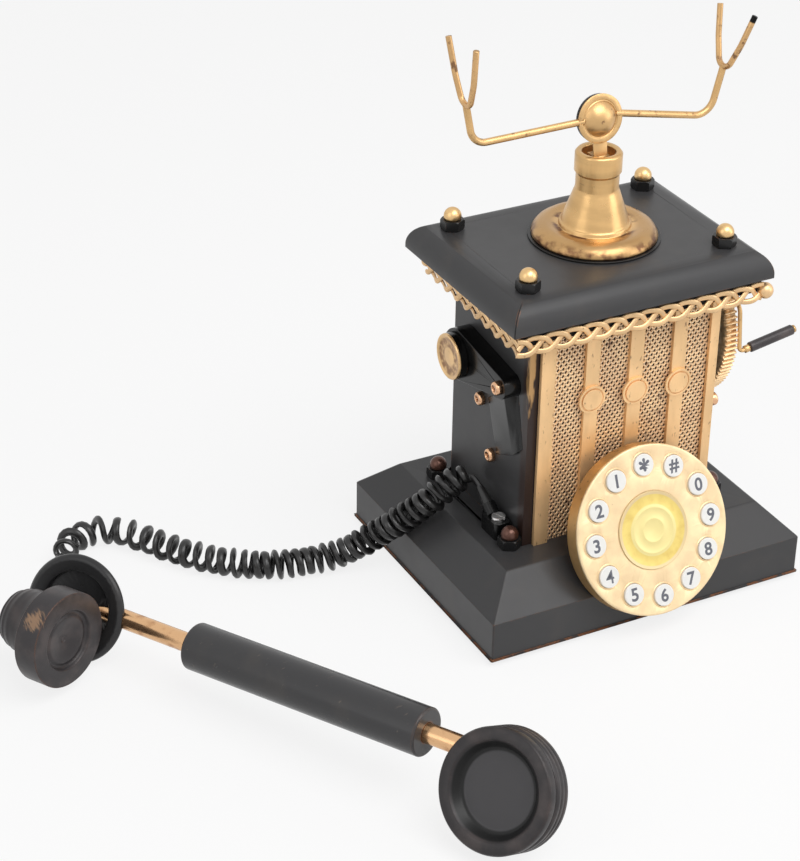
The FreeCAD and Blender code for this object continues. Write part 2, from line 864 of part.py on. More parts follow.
def cradle_stem():
    """The plunger: shank, spring flange and the tongue between the hub's discs."""
    ceiling = finial_z + finial_ceiling
    bridge_low = finial_z + finial_height - finial_recess_depth + cradle_travel + travel_spare
    shank_top = bridge_low + bridge_thickness
    place = V(finial_x, finial_y, 0)
    shank = bar(place.add(V(0, 0, stem_bottom_z)), place.add(V(0, 0, shank_top)), stem_radius)
    seat = place.add(V(0, 0, ceiling))
    flange = bar(seat.sub(V(0, 0, stem_flange_thickness)), seat, stem_flange_radius)
    half = tongue_half_width
    low = (bridge_low - hub_z) / math.cos(math.radians(hub_lean))
    tongue = block(-half, half, low, hub_radius * 0.7, -hub_back_gap, hub_front_gap)
    tongue = placed(tongue, hub_placement())
    foot = hub_placement().multVec(V(0, low + 1, 0))
    bridge = block(hub_x - half, finial_x + stem_radius, foot.y - arm_radius, finial_y + stem_radius,
                   bridge_low, shank_top)
    below = block(-lid_width, lid_width, -lid_width, lid_width, lid_top, bridge_low)
    stem = shank.fuse([flange, tongue.cut(below), bridge])
    return stem.cut(cradle_hub()).cut(cradle_back_disc()).removeSplitter()


def cradle_spring():
    """A wound wire round the stem, flat at the bottom, from the lid to the stem's flange."""
    bottom = lid_top + spring_wire
    top = finial_z + finial_ceiling - stem_flange_thickness - spring_wire
    pitch = (top - bottom) / spring_turns
    return coil_spring(V(finial_x, finial_y, bottom), spring_radius, spring_wire, pitch, spring_turns)


def coil_spring(start, radius, wire, pitch, turns):
    """One wire wound in quarter turns, each joined to the next by a pair of tangent arcs."""
    def spot(t):
        a = 2 * math.pi * t
        return start.add(V(radius * math.cos(a), radius * math.sin(a), pitch * t))

    def heading(t):
        a = 2 * math.pi * t
        rise = pitch / (2 * math.pi)
        return V(-radius * math.sin(a), radius * math.cos(a), rise).normalize()
    steps = [i / 4 for i in range(4 * turns + 1)]
    edges = []
    for t0, t1 in zip(steps, steps[1:]):
        edges += biarc(spot(t0), heading(t0), spot(t1), heading(t1))
    return rod_along(edges, wire)


def hook_switch():
    """A small switch under the stem, on a bracket from the tower's back wall."""
    top = stem_bottom_z - cradle_travel - 0.5
    body = block(finial_x - 6, finial_x + 6, finial_y - 9, finial_y + 9, top - 16, top - 1.5)
    button = Part.makeCylinder(2.5, 1.5, V(finial_x, finial_y, top - 1.5))
    arm = block(finial_x - 6, finial_x + 6, finial_y + 9, tower_back - sheet, top - 6, top - 4)
    flange = block(finial_x - 6, finial_x + 6, tower_back - sheet - 2, tower_back - sheet, top - 18, top - 4)
    return body.fuse([button, arm, flange]).removeSplitter()


# Dial: a drum that leans on the base and the tower, its face, the keys and the contact board

def dial_placement():
    return FreeCAD.Placement(V(0, dial_y, dial_z), FreeCAD.Rotation(X_AXIS, 90 - dial_tilt))


def key_places():
    """Key names from the top, clockwise, with the middle of each key on the face."""
    names = ["star", "hash", "0", "9", "8", "7", "6", "5", "4", "3", "2", "1"]
    places = []
    for i in range(key_count):
        angle = math.radians(90 - 360 / key_count * i)
        places.append((names[i], V(key_ring_radius * math.cos(angle), key_ring_radius * math.sin(angle), 0)))
    return places


def dial_drum():
    back = -dial_depth
    cup = Part.makeCylinder(dial_radius, dial_depth - dial_face_thickness, V(0, 0, back))
    room = Part.makeCylinder(dial_radius - dial_wall, dial_depth, V(0, 0, back + dial_wall))
    cup = cup.cut(room)
    board_back = -key_depth - key_travel - board_clearance - board_thickness
    for i in range(4):
        angle = math.radians(45 + 90 * i)
        reach = key_ring_radius * 0.62
        post = V(reach * math.cos(angle), reach * math.sin(angle), back + dial_wall - 0.2)
        cup = cup.fuse(Part.makeCylinder(2.5, board_back - post.z, post))
    neck = Part.makeCylinder(neck_radius, dial_depth * 3, V(0, 0, back - dial_depth * 3))
    drum = placed(cup.fuse(neck), dial_placement())
    behind = block(tower_left, tower_right, strip_front, tower_back, plateau_z - 1, tower_top)
    return drum.cut(base_outer(0)).cut(behind).removeSplitter()


def dial_face():
    plate = Part.makeCylinder(dial_radius, dial_face_thickness, V(0, 0, -dial_face_thickness))
    rim = [e for e in plate.Edges if e.Curve.TypeId == "Part::GeomCircle" and abs(e.Curve.Center.z) < 0.01]
    plate = plate.makeFillet(dial_face_thickness * 0.6, rim)
    recess = Part.makeCylinder(dial_disc_radius + hole_gap, dial_disc_recess + 1, V(0, 0, -dial_disc_recess))
    plate = plate.cut(recess)
    for _, place in key_places():
        low = place.add(V(0, 0, -dial_face_thickness - 1))
        plate = plate.cut(Part.makeCylinder(key_radius + key_gap, dial_face_thickness + 2, low))
    return placed(plate, dial_placement())


def dial_centre_disc():
    disc = Part.makeCylinder(dial_disc_radius, dial_disc_thickness, V(0, 0, -dial_disc_recess))
    return placed(disc, dial_placement())


def dial_board():
    top = -key_depth - key_travel - board_clearance
    radius = dial_radius - dial_wall - free_gap
    board = Part.makeCylinder(radius, board_thickness, V(0, 0, top - board_thickness))
    return placed(board, dial_placement())


def key(place):
    """A round key held under the face by its flange."""
    cap = Part.makeCylinder(key_radius, key_proud + key_depth, place.add(V(0, 0, -key_depth)))
    circles = [e for e in cap.Edges if e.Curve.TypeId == "Part::GeomCircle"]
    top = [e for e in circles if abs(e.Curve.Center.z - key_proud) < 0.01]
    cap = cap.makeFillet(key_proud * 0.35, top)
    seat = -dial_face_thickness - key_flange_thickness - running_gap
    flange = Part.makeCylinder(key_radius + key_flange, key_flange_thickness, place.add(V(0, 0, seat)))
    return placed(cap.fuse(flange).removeSplitter(), dial_placement())


# Crank and gears on the right side, and the magneto that they turn

def involute(base, reach):
    """Point of an involute of the base circle at the radius reach."""
    roll = math.sqrt(max(0.0, (reach / base) ** 2 - 1))
    return reach, roll - math.atan(roll)


def gear_face(teeth, addendum, dedendum, slim):
    """A toothed outline round the origin, in the plane of Y and Z, a tooth on the +Y axis."""
    pitch = gear_module * teeth / 2
    base = pitch * math.cos(math.radians(20))
    root = pitch - dedendum
    tip = pitch + addendum
    half = math.pi / teeth / 2 - slim / pitch
    turn = involute(base, pitch)[1]
    flank = []
    for reach in (max(root, base), (max(root, base) + tip) / 2, tip):
        r, a = involute(base, reach)
        flank.append((r, half + turn - a))
    if root < base:
        flank.insert(0, (root, flank[0][1]))
    points = []
    for i in range(teeth):
        middle = 2 * math.pi * i / teeth
        for r, a in flank:
            points.append(V(0, r * math.cos(middle - a), r * math.sin(middle - a)))
        for r, a in reversed(flank):
            points.append(V(0, r * math.cos(middle + a), r * math.sin(middle + a)))
    return Part.Face(Part.makePolygon(points + [points[0]]))


def drive_gear():
    wheel = gear_face(gear_teeth, 0.8 * gear_module, 1.25 * gear_module, 0.1)
    wheel.translate(V(gear_inner, gear_y, gear_z))
    wheel = wheel.extrude(V(gear_width, 0, 0))
    web = across(gear_inner - 1, gear_inner + gear_web_depth, gear_y, gear_z, gear_web_radius)
    hub = across(gear_inner - 1, gear_inner + gear_web_depth, gear_y, gear_z, crank_hub_radius * 2)
    wheel = wheel.cut(web.cut(hub))
    return wheel.cut(across(gear_inner - 5, gear_outer + 5, gear_y, gear_z, axle_radius))


def pinion_shaft():
    """Pinion, shaft and wound armature, which turn as one."""
    teeth = gear_face(pinion_teeth, 1.0 * gear_module, 1.15 * gear_module, 0.12)
    half_tooth = 180 / pinion_teeth
    teeth.rotate(V(0, 0, 0), X_AXIS, mesh_angle + 180 + half_tooth)
    teeth.translate(V(gear_inner, pinion_y, pinion_z))
    teeth = teeth.extrude(V(pinion_width, 0, 0))
    left = armature_x - magneto_end - 2
    shaft = across(left, gear_inner + pinion_width, pinion_y, pinion_z, pinion_shaft_radius)
    core = across(armature_x, armature_x + armature_length, pinion_y, pinion_z, armature_radius)
    for side in (-1, 1):
        slot = block(armature_x + 2, armature_x + armature_length - 2, -1.6, 1.6, armature_radius * 0.55,
                     armature_radius + 1)
        slot.rotate(V(0, 0, 0), X_AXIS, 90 + 90 * side)
        slot.translate(V(0, pinion_y, pinion_z))
        core = core.cut(slot)
    return teeth.fuse([shaft, core]).removeSplitter()


def magneto_body():
    """Cast yoke and end plates round the armature, on a leg that stands on the base."""
    x0 = armature_x - magneto_end - armature_gap
    x1 = armature_x + armature_length + magneto_end + armature_gap
    low = pinion_z - magneto_height / 2
    front = pinion_y - magneto_depth / 2
    body = block(x0, x1, front, front + magneto_depth, low, low + magneto_height)
    bore = across(x0 + magneto_end, x1 - magneto_end, pinion_y, pinion_z, armature_radius + armature_gap)
    body = body.cut(bore)
    body = body.cut(across(x0 - 1, x1 + 1, pinion_y, pinion_z, pinion_shaft_radius + running_gap))
    floor = plateau_z + sheet
    leg = block(x0 + 6, x1 - 6, front, front + 6, floor, low)
    foot = block(x0 + 6, x1 - 6, tower_front + sheet, front + 6, floor, floor + 2)
    return body.fuse([leg, foot]).removeSplitter()


def shaft_bushes():
    """Flanged bushes in the tower's right wall for the crank axle and the pinion shaft."""
    bushes = []
    collar = tower_right + bush_flange_thickness
    for y, z, radius, inner_end in ((gear_y, gear_z, axle_radius, tower_right - axle_length + 7),
                                    (pinion_y, pinion_z, pinion_shaft_radius, tower_right - 8)):
        body = across(inner_end, collar, y, z, radius + bush_wall)
        flange = across(tower_right, collar, y, z, radius + bush_wall + bush_flange)
        bore = across(inner_end - 1, collar + 1, y, z, radius + running_gap)
        bushes.append(body.fuse(flange).cut(bore).removeSplitter())
    return bushes


def grip_axis():
    """Where the grip's axis meets the crank's plane, and its direction."""
    tilt = math.radians(grip_tilt)
    start = V(gear_outer + crank_rod_radius + crank_rod_gap, gear_y - crank_throw, gear_z - crank_drop)
    return start, V(math.cos(tilt), 0, math.sin(tilt))


def along_grip(start, end, radius):
    base, direction = grip_axis()
    return bar(base.add(V(direction).multiply(start)), base.add(V(direction).multiply(end)), radius)


def crank_rod():
    """Axle, hub and a bent rod that ends in the pin for the grip."""
    inner = tower_right - axle_length
    axle = across(inner, gear_outer, gear_y, gear_z, axle_radius)
    collar = across(inner + 3, inner + 6.5, gear_y, gear_z, axle_collar_radius)
    hub = across(gear_outer, gear_outer + crank_hub_height, gear_y, gear_z, crank_hub_radius)
    corner, direction = grip_axis()
    begin = grip_begin()
    end = begin + grip_length + free_gap
    elbow = V(corner.x, gear_y - crank_elbow_forward, gear_z + crank_elbow_up)
    points = [V(corner.x, gear_y, gear_z), elbow, corner, corner.add(V(direction).multiply(end + 1))]
    rod = rod_along(bent_path(points, [crank_elbow_bend, crank_drop_bend]), crank_rod_radius)
    ferrule = along_grip(begin - free_gap - ferrule_length, begin - free_gap, ferrule_radius)
    head = along_grip(end, end + 1, ferrule_radius)
    return axle.fuse([collar, hub, rod, ferrule, head]).removeSplitter()


def grip_begin():
    return crank_drop_bend + ferrule_length + 1 + free_gap


def crank_grip():
    begin = grip_begin()
    body = along_grip(begin, begin + grip_length, grip_radius)
    rims = [e for e in body.Edges if e.Curve.TypeId == "Part::GeomCircle"]
    body = body.makeFillet(grip_radius * 0.25, rims)
    return body.cut(along_grip(begin - 1, begin + grip_length + 1, crank_rod_radius + running_gap))


# Left side: a teardrop cover with an apron, the volume knob, its control and three eyelets

def teardrop(back_radius, tip_radius):
    """A face in the plane of Y and Z: a large and a small round joined by their tangents."""
    back = V(0, cover_back_y, cover_back_z)
    tip = V(0, cover_tip_y, cover_tip_z)
    run = tip.sub(back)
    heading = math.atan2(run.z, run.y)
    spread = math.acos((back_radius - tip_radius) / run.Length)

    def rim(centre, radius, angle):
        return centre.add(V(0, radius * math.cos(angle), radius * math.sin(angle)))
    a = rim(back, back_radius, heading + spread)
    b = rim(back, back_radius, heading + math.pi)
    c = rim(back, back_radius, heading - spread)
    d = rim(tip, tip_radius, heading - spread)
    e = rim(tip, tip_radius, heading)
    f = rim(tip, tip_radius, heading + spread)
    edges = [Part.Arc(a, b, c).toShape(), Part.LineSegment(c, d).toShape(), Part.Arc(d, e, f).toShape(),
             Part.LineSegment(f, a).toShape()]
    return Part.Face(Part.Wire(edges))


def wall_spot(offset, height):
    """A point at a height above the left wall, by its offset from the middle of the cover's tip."""
    back, up = offset
    return V(tower_left - height, cover_tip_y + back, cover_tip_z + up)


def apron():
    """A low ridged panel that hangs from the cover down the wall."""
    left_top = wall_spot(apron_top_back, 0)
    left_low = wall_spot(apron_low_back, 0)
    right_low = wall_spot(apron_low_front, 0)
    right_top = wall_spot(apron_top_front, 0)
    ridge_top = wall_spot(apron_ridge_top, apron_height)
    ridge_low = wall_spot(apron_ridge_low, apron_height * apron_low_share)
    loops = [[left_top, left_low, right_low, right_top], [left_top, ridge_top, ridge_low, left_low],
             [right_top, right_low, ridge_low, ridge_top], [left_top, right_top, ridge_top],
             [left_low, ridge_low, right_low]]
    faces = []
    for loop in loops:
        if len(loop) == 3:
            faces.append(Part.Face(Part.makePolygon(loop + [loop[0]])))
        else:
            faces.append(Part.Face(Part.makePolygon([loop[0], loop[1], loop[2], loop[0]])))
            faces.append(Part.Face(Part.makePolygon([loop[0], loop[2], loop[3], loop[0]])))
    return Part.Solid(Part.Shell(faces))


def side_cover():
    outer = teardrop(cover_back_radius, cover_tip_radius).extrude(V(-cover_depth, 0, 0))
    inner = teardrop(cover_back_radius - sheet, cover_tip_radius - sheet)
    inner = inner.extrude(V(sheet - cover_depth, 0, 0))
    for shape in (outer, inner):
        shape.translate(V(tower_left, 0, 0))
    cover = outer.fuse(apron()).cut(inner)
    outside = tower_left - cover_depth - 1
    cover = cover.cut(across(outside, tower_left, cover_back_y, cover_back_z, knob_shaft_radius + hole_gap))
    cover = cover.cut(across(outside, tower_left, cover_tip_y, cover_tip_z, eyelet_hole + eyelet_wall))
    for eyelet in side_eyelets():
        cover = cover.cut(eyelet)
    return cover.removeSplitter()


def eyelet(spot, height, side):
    """A rolled eyelet whose head stands on the wall at the spot, on the side -1 or 1."""
    head = across(0, height, 0, 0, eyelet_radius)
    rim = [e for e in head.Edges if e.Curve.TypeId == "Part::GeomCircle" and e.Curve.Center.x > 0.1]
    head = head.makeFillet(eyelet_height * 0.4, rim)
    tail = across(-sheet, 0, 0, 0, eyelet_hole + eyelet_wall)
    hole = across(-sheet - 1, height + 1, 0, 0, eyelet_hole)
    piece = head.fuse(tail).cut(hole).removeSplitter()
    if side < 0:
        piece.rotate(V(0, 0, 0), Z_AXIS, 180)
    piece.translate(spot)
    return piece


def side_eyelets():
    """Rolled eyelets: one in the cover's tip, two in the left wall and one in the right wall."""
    spots = [V(tower_left - cover_depth, cover_tip_y, cover_tip_z), wall_spot(upper_eyelet, 0),
             wall_spot(lower_eyelet, 0)]
    right_spot = V(tower_right, right_eyelet_y, right_eyelet_z)
    return [eyelet(spot, eyelet_height, -1) for spot in spots] + [eyelet(right_spot, right_eyelet_height, 1)]


def side_knob():
    """Knob and shaft; the shaft ends in the volume control inside the tower."""
    seat = tower_left - cover_depth - free_gap
    knob = across(seat - knob_height, seat, cover_back_y, cover_back_z, knob_radius)
    inner_end = tower_left + sheet + control_depth * 0.6
    shaft = across(seat, inner_end, cover_back_y, cover_back_z, knob_shaft_radius)
    return knob.fuse(shaft).removeSplitter()


def side_knob_cap():
    """Brass face of the knob, with a raised rim."""
    seat = tower_left - cover_depth - free_gap - knob_height
    disc = across(seat - knob_cap_thickness, seat, cover_back_y, cover_back_z, knob_radius)
    dish = across(seat - knob_cap_thickness - 1, seat - knob_cap_thickness * 0.5, cover_back_y, cover_back_z,
                  knob_radius - knob_rim)
    return disc.cut(dish)


def volume_control():
    half = control_size / 2
    x0 = tower_left + sheet
    y, z = cover_back_y, cover_back_z
    body = block(x0, x0 + control_depth, y - half, y + half, z - half, z + half)
    return body.cut(across(x0 - 1, x0 + control_depth * 0.7, y, z, knob_shaft_radius + running_gap))


def ringer_speaker():
    """Round sounder on a square flange, its cone towards the mesh."""
    strips = strip_edges()
    x0 = strips[0][0] + 1
    x1 = strips[1][1]
    middle = (x0 + x1) / 2
    half = (x1 - x0) / 2
    y = tower_front + sheet
    back = y + speaker_flange
    flange = block(x0, x1, y, back, speaker_z - half, speaker_z + half)
    can = Part.makeCylinder(half - speaker_rim, speaker_depth, V(middle, back, speaker_z), Y_AXIS)
    cone = Part.makeCone(half - 2 * speaker_rim, 4, 7, V(middle, y - 0.1, speaker_z), Y_AXIS)
    return flange.fuse(can).cut(cone).removeSplitter()


# Curly cord: straight out of the clamp, wound along a hanging and lying route, into the rod

def cord_points():
    """Route of the cord, chosen point by point; the last two lie on the rod's axis."""
    end = handset_placement().multVec(V(rod_start - cord_end_gap, 0, 0))
    before = handset_placement().multVec(V(rod_start - 13, 0, 0))
    return [V(clamp_x, clamp_back, sleeve_z), V(clamp_x, -8.0, 53.4), V(-58.2, -0.6, 57.6), V(-62.8, 3.8, 56.6),
            V(-69.6, 5.2, 51.6), V(-76.8, 7.2, 45.0), V(-84.2, 12.4, 36.8), V(-91.8, 19.4, 27.6),
            V(-100.8, 27.0, 17.6), V(-112.0, 33.0, 9.4), V(-125.4, 36.6, 7.4), V(-140.0, 39.4, 7.4),
            V(-154.0, 46.0, 7.4), V(-167.0, 56.6, 7.4), V(-177.6, 68.6, 7.4), V(-186.4, 82.4, 7.4),
            V(-194.6, 96.8, 7.4), V(-204.6, 107.4, 7.4), V(-217.4, 108.6, 7.4), V(-229.6, 100.6, 7.4),
            V(-239.6, 86.6, 8.4), V(-248.0, 70.0, 13.0), before, end]


def route_edges(points):
    radii = []
    for a, b, c in zip(points, points[1:], points[2:]):
        half = b.sub(a).getAngle(c.sub(b)) / 2
        shorter = min(b.sub(a).Length, c.sub(b).Length)
        radii.append(0.45 * shorter / math.tan(half))
    print("cord route radii:", [round(r, 1) for r in radii])
    return bent_path(points, radii)


def sampled(edges, step):
    """Points and headings along the route, with a frame that does not twist."""
    spots = []
    for edge in edges:
        count = max(2, int(edge.Length / step) + 1)
        for i in range(count):
            t = edge.getParameterByLength(edge.Length * i / count)
            spots.append((edge.valueAt(t), edge.tangentAt(t)))
    spots.append((edges[-1].valueAt(edges[-1].LastParameter), edges[-1].tangentAt(edges[-1].LastParameter)))
    normal = spots[0][1].cross(Z_AXIS).normalize()
    frames = []
    distance = 0.0
    before = spots[0][0]
    for point, heading in spots:
        distance += point.sub(before).Length
        normal = normal.sub(V(heading).multiply(normal.dot(heading))).normalize()
        frames.append((distance, point, V(heading), V(normal), heading.cross(normal)))
        before = point
    return frames


def frame_at(frames, distance):
    low = 0
    high = len(frames) - 1
    while high - low > 1:
        middle = (low + high) // 2
        if frames[middle][0] > distance:
            high = middle
        else:
            low = middle
    a = frames[low]
    b = frames[high]
    share = (distance - a[0]) / max(b[0] - a[0], 1e-9)
    mixed = [a[k].add(b[k].sub(a[k]).multiply(share)) for k in range(1, 5)]
    return mixed[0], mixed[1].normalize(), mixed[2].normalize(), mixed[3].normalize()


def smooth(t):
    t = max(0.0, min(1.0, t))
    return t * t * (3 - 2 * t)


def coil_pitch(share, turn):
    """Distance from curl to curl: tight at the telephone, stretched at the handset and at the first curl."""
    steady = pitch_near + (pitch_far - pitch_near) * smooth((share - 0.45) / 0.35)
    return steady + lead_pitch * (1 - smooth(turn / ramp_turns))


def coil_stations(length):
    """Route distance and turn count at every quarter turn of the coil."""
    stations = [(coil_start, 0.0)]
    finish = length - coil_end_tail
    while stations[-1][0] < finish:
        at, turn = stations[-1]
        share = (at - coil_start) / (finish - coil_start)
        stations.append((at + coil_pitch(share, turn) / 4, turn + 0.25))
    return stations


def cord_spot(frames, stations, turn):
    """Middle of the wire after so many turns of the coil."""
    last = stations[-1][1]
    index = min(int(turn * 4), len(stations) - 2)
    share = turn * 4 - index
    distance = stations[index][0] + (stations[index + 1][0] - stations[index][0]) * share
    point, heading, normal, binormal = frame_at(frames, distance)
    reach = coil_radius * smooth(turn / ramp_turns) * smooth((last - turn) / ramp_turns)
    angle = 2 * math.pi * turn
    return point.add(normal.multiply(reach * math.cos(angle))).add(binormal.multiply(reach * math.sin(angle)))


def biarc(start, heading_in, end, heading_out):
    """Two arcs, tangent to each other and to both headings."""
    run = end.sub(start)
    both = heading_in.add(heading_out)
    a = 2 * (1 - heading_in.dot(heading_out))
    b = 2 * run.dot(both)
    c = -run.dot(run)
    if abs(a) < 1e-6:
        reach = -c / b
    else:
        reach = (-b + math.sqrt(b * b - 4 * a * c)) / (2 * a)
    first = start.add(V(heading_in).multiply(reach))
    last = end.sub(V(heading_out).multiply(reach))
    join = first.add(last).multiply(0.5)
    return [arc_from(start, heading_in, join), arc_from(join, last.sub(first).normalize(), end)]


def arc_from(start, heading, end):
    """The arc that leaves the start along the heading and reaches the end."""
    chord = end.sub(start)
    across_it = chord.sub(V(heading).multiply(chord.dot(heading)))
    if across_it.Length < 1e-4 * chord.Length:
        return Part.LineSegment(start, end).toShape()
    across_it.normalize()
    radius = chord.dot(chord) / (2 * chord.dot(across_it))
    centre = start.add(V(across_it).multiply(radius))
    middle = start.add(end).multiply(0.5).sub(centre).normalize().multiply(radius)
    return Part.Arc(start, centre.add(middle), end).toShape()


def least_self_gap(frames, stations):
    """Smallest space between the wire and itself, more than half a turn apart."""
    per_turn = 24
    count = int(stations[-1][1] * per_turn)
    spots = [cord_spot(frames, stations, i / per_turn) for i in range(count + 1)]
    least = 1e9
    for i, spot in enumerate(spots):
        for j in range(i + per_turn // 2, min(len(spots), i + 3 * per_turn)):
            least = min(least, spot.distanceToPoint(spots[j]))
    return least - 2 * cord_radius


def curly_cord():
    edges = route_edges(cord_points())
    frames = sampled(edges, 0.5)
    length = frames[-1][0]
    stations = coil_stations(length)
    turns = stations[-1][1]
    print("cord route", round(length, 1), "curls", turns, "least gap", round(least_self_gap(frames, stations), 2))
    tiny = 0.004

    def heading(turn):
        before = cord_spot(frames, stations, max(0.0, turn - tiny))
        after = cord_spot(frames, stations, min(turns, turn + tiny))
        return after.sub(before).normalize()
    path = lead_in(frames, 0.0, stations[0][0])
    steps = [i / 4 for i in range(int(turns * 4) + 1)]
    for t0, t1 in zip(steps, steps[1:]):
        start, end = cord_spot(frames, stations, t0), cord_spot(frames, stations, t1)
        path += biarc(start, heading(t0), end, heading(t1))
    path += lead_in(frames, stations[-1][0], length)
    wire_length = sum(edge.Length for edge in path)
    cord = rod_along(path, cord_radius)
    expected = math.pi * cord_radius ** 2 * wire_length
    print("cord wire length", round(wire_length, 1), "volume share", round(cord.Volume / expected, 4))
    return cord


def lead_in(frames, start, end):
    """The uncoiled stretch of the route, as tangent arcs between two distances."""
    count = max(1, int(round((end - start) / 6.0)))
    marks = [start + (end - start) * i / count for i in range(count + 1)]
    path = []
    for a, b in zip(marks, marks[1:]):
        p0, h0, _, _ = frame_at(frames, a)
        p1, h1, _, _ = frame_at(frames, b)
        path += biarc(p0, h0, p1, h1)
    return path


def cord_clamp():
    """A block on the base, with a lug for its screw and a sleeve that the cord leaves."""
    x0 = clamp_x - clamp_width / 2
    top = plateau_z + clamp_height
    body = block(x0, x0 + clamp_width, clamp_front, clamp_back, plateau_z, top)
    corners = [e for e in body.Edges if abs(e.tangentAt(e.FirstParameter).z) > 0.99]
    body = body.makeFillet(2.0, corners)
    mouth, onward = cord_points()[:2]
    run = onward.sub(mouth).normalize()
    sleeve = bar(mouth.sub(V(run).multiply(sleeve_length)), mouth, sleeve_radius)
    beyond = bar(mouth, onward, sleeve_radius * 2)
    body = body.cut(beyond)
    screw = Part.makeCylinder(thread_radius / 2, 30, V(clamp_x, clamp_screw_y, plateau_z - 10))
    return body.fuse(sleeve).cut(screw).removeSplitter()


def clamp_screw():
    """Slotted screw in the top of the clamp."""
    top = plateau_z + clamp_height
    head = Part.makeCylinder(screw_head_radius, screw_head_height, V(clamp_x, clamp_screw_y, top))
    shank_end = plateau_z - 3
    shank = Part.makeCylinder(thread_radius / 2, top - shank_end, V(clamp_x, clamp_screw_y, shank_end))
    slot = block(clamp_x - 0.4, clamp_x + 0.4, clamp_screw_y - 5, clamp_screw_y + 5,
                 top + screw_head_height * 0.4, top + screw_head_height + 1)
    slot.rotate(V(clamp_x, clamp_screw_y, 0), Z_AXIS, 25)
    return head.cut(slot).fuse(shank).removeSplitter()


# Handset: tube rod with a grip, a round receiver at one end, a saucer and mouthpiece at the other

def saucer_placement():
    tilt = FreeCAD.Rotation(Y_AXIS, saucer_tilt)
    twist = FreeCAD.Rotation(X_AXIS, saucer_twist)
    return FreeCAD.Placement(V(saucer_x, saucer_y, saucer_z), tilt.multiply(twist))


def circle_low(placement, centre, normal, radius):
    """Lowest level of a circle given in the handset's frame."""
    middle = placement.multVec(centre)
    up = placement.Rotation.multVec(normal)
    return middle.z - radius * math.sqrt(max(0.0, 1 - up.z ** 2))


def handset_placement():
    """The handset at rest: the saucer's edge and the receiver's back edge both on the table."""
    pitch = -3.0
    for _ in range(30):
        turn = FreeCAD.Rotation(handset_yaw, pitch, handset_roll)
        place = FreeCAD.Placement(V(handset_x, handset_y, 0), turn)
        saucer = saucer_placement()
        centre = saucer.multVec(V(0, 0, -saucer_edge))
        normal = saucer.Rotation.multVec(Z_AXIS)
        mouth = circle_low(place, centre, normal, saucer_radius - saucer_edge) - saucer_edge
        ear = circle_low(place, V(ear_x, ear_y, ear_face_z - ear_thickness), Z_AXIS, ear_radius)
        pitch += math.degrees(math.atan2(ear - mouth, ear_x))
    return FreeCAD.Placement(V(handset_x, handset_y, -mouth), turn)


def rod_end():
    """The rod's far end, a few millimetres inside the receiver."""
    return V(ear_x - math.sqrt(ear_radius ** 2 - ear_y ** 2) + rod_seat, 0, 0)


def handset_rod():
    return tube(V(rod_start, 0, 0), rod_end(), rod_radius, rod_bore)


def handset_grip():
    grip = bar(V(grip_start, 0, 0), V(grip_start + handset_grip_length, 0, 0), handset_grip_radius)
    rims = [e for e in grip.Edges if e.Curve.TypeId == "Part::GeomCircle"]
    grip = grip.makeChamfer(0.7, rims)
    return grip.cut(bar(V(grip_start - 1, 0, 0), V(grip_start + handset_grip_length + 1, 0, 0), rod_radius))


def saucer():
    """A flat ring with a rounded edge, a sunk floor inside it and a boss for the rod behind."""
    edge = saucer_edge
    r = saucer_radius
    floor = saucer_floor_radius
    floor_top = -saucer_floor_depth
    back = floor_top - saucer_floor_thickness
    outline = [(0, back), (floor + 0.8, back), (floor + 1.8, -3.8), (r - 2 * edge, -3.8), (r - edge, -2 * edge),
               (r - 0.4, -1.5 * edge), (r, -edge), (r - 0.4, -0.5 * edge), (r - edge, 0), (r - 2 * edge, -0.6),
               (floor + 0.8, -1.4), (floor + 0.2, -1.8), (floor, floor_top), (0, floor_top)]
    boss_top = floor_top - saucer_floor_thickness / 2
    boss = Part.makeCylinder(saucer_boss_radius, saucer_boss_height, V(0, 0, boss_top - saucer_boss_height))
    beyond = bar(V(rod_start - ear_radius, 0, 0), V(rod_start, 0, 0), saucer_boss_radius * 2)
    plate = placed(turned(outline), saucer_placement()).fuse(placed(boss, saucer_placement()).cut(beyond))
    solid = plate.cut(bar(V(rod_start - 1, 0, 0), V(ear_x, 0, 0), rod_radius))
    return max(solid.Solids, key=lambda s: s.Volume)


def mouth_placement():
    """The mouthpiece's own frame: z along its axis, out of its face."""
    return FreeCAD.Placement(V(mouth_x, mouth_y, mouth_z), FreeCAD.Rotation(Y_AXIS, 90))


def mouth_bulb():
    """Ribbed bulb behind the cap, with a neck that stands on the saucer."""
    r = bulb_radius
    back = -mouth_length
    front = -mouth_cap_thickness
    outline = [(0, back), (r * 0.34, back + 0.5), (r * 0.62, back + 2.2), (r * 0.82, back + 4.8),
               (r * 0.81, back + 5.4), (r * 0.92, back + 8.0), (r * 0.91, back + 8.6), (r * 0.98, back + 11.6),
               (r * 0.97, back + 12.2), (r, back + 16.0), (r, front - 7), (r + 1.2, front - 3), (r + 3.0, front),
               (0, front)]
    bulb = turned(outline)
    bulb.translate(V(0, bulb_rise, 0))
    bulb = placed(bulb, mouth_placement())
    down = V(mouth_x + back * 0.55, mouth_y, mouth_z)
    foot_depth = saucer_floor_depth + saucer_floor_thickness / 2
    foot = saucer_placement().multVec(V(mouth_foot_x, mouth_foot_y, -foot_depth))
    body = bulb.fuse(bar(foot, down, mouth_neck_radius)).cut(saucer())
    return max(body.Solids, key=lambda s: s.Volume)


def mouth_hollow():
    """Space for the capsule in the back of the cap."""
    hollow = Part.makeCylinder(capsule_radius, capsule_thickness + 1, V(0, 0, -mouth_cap_thickness))
    return placed(hollow, mouth_placement())


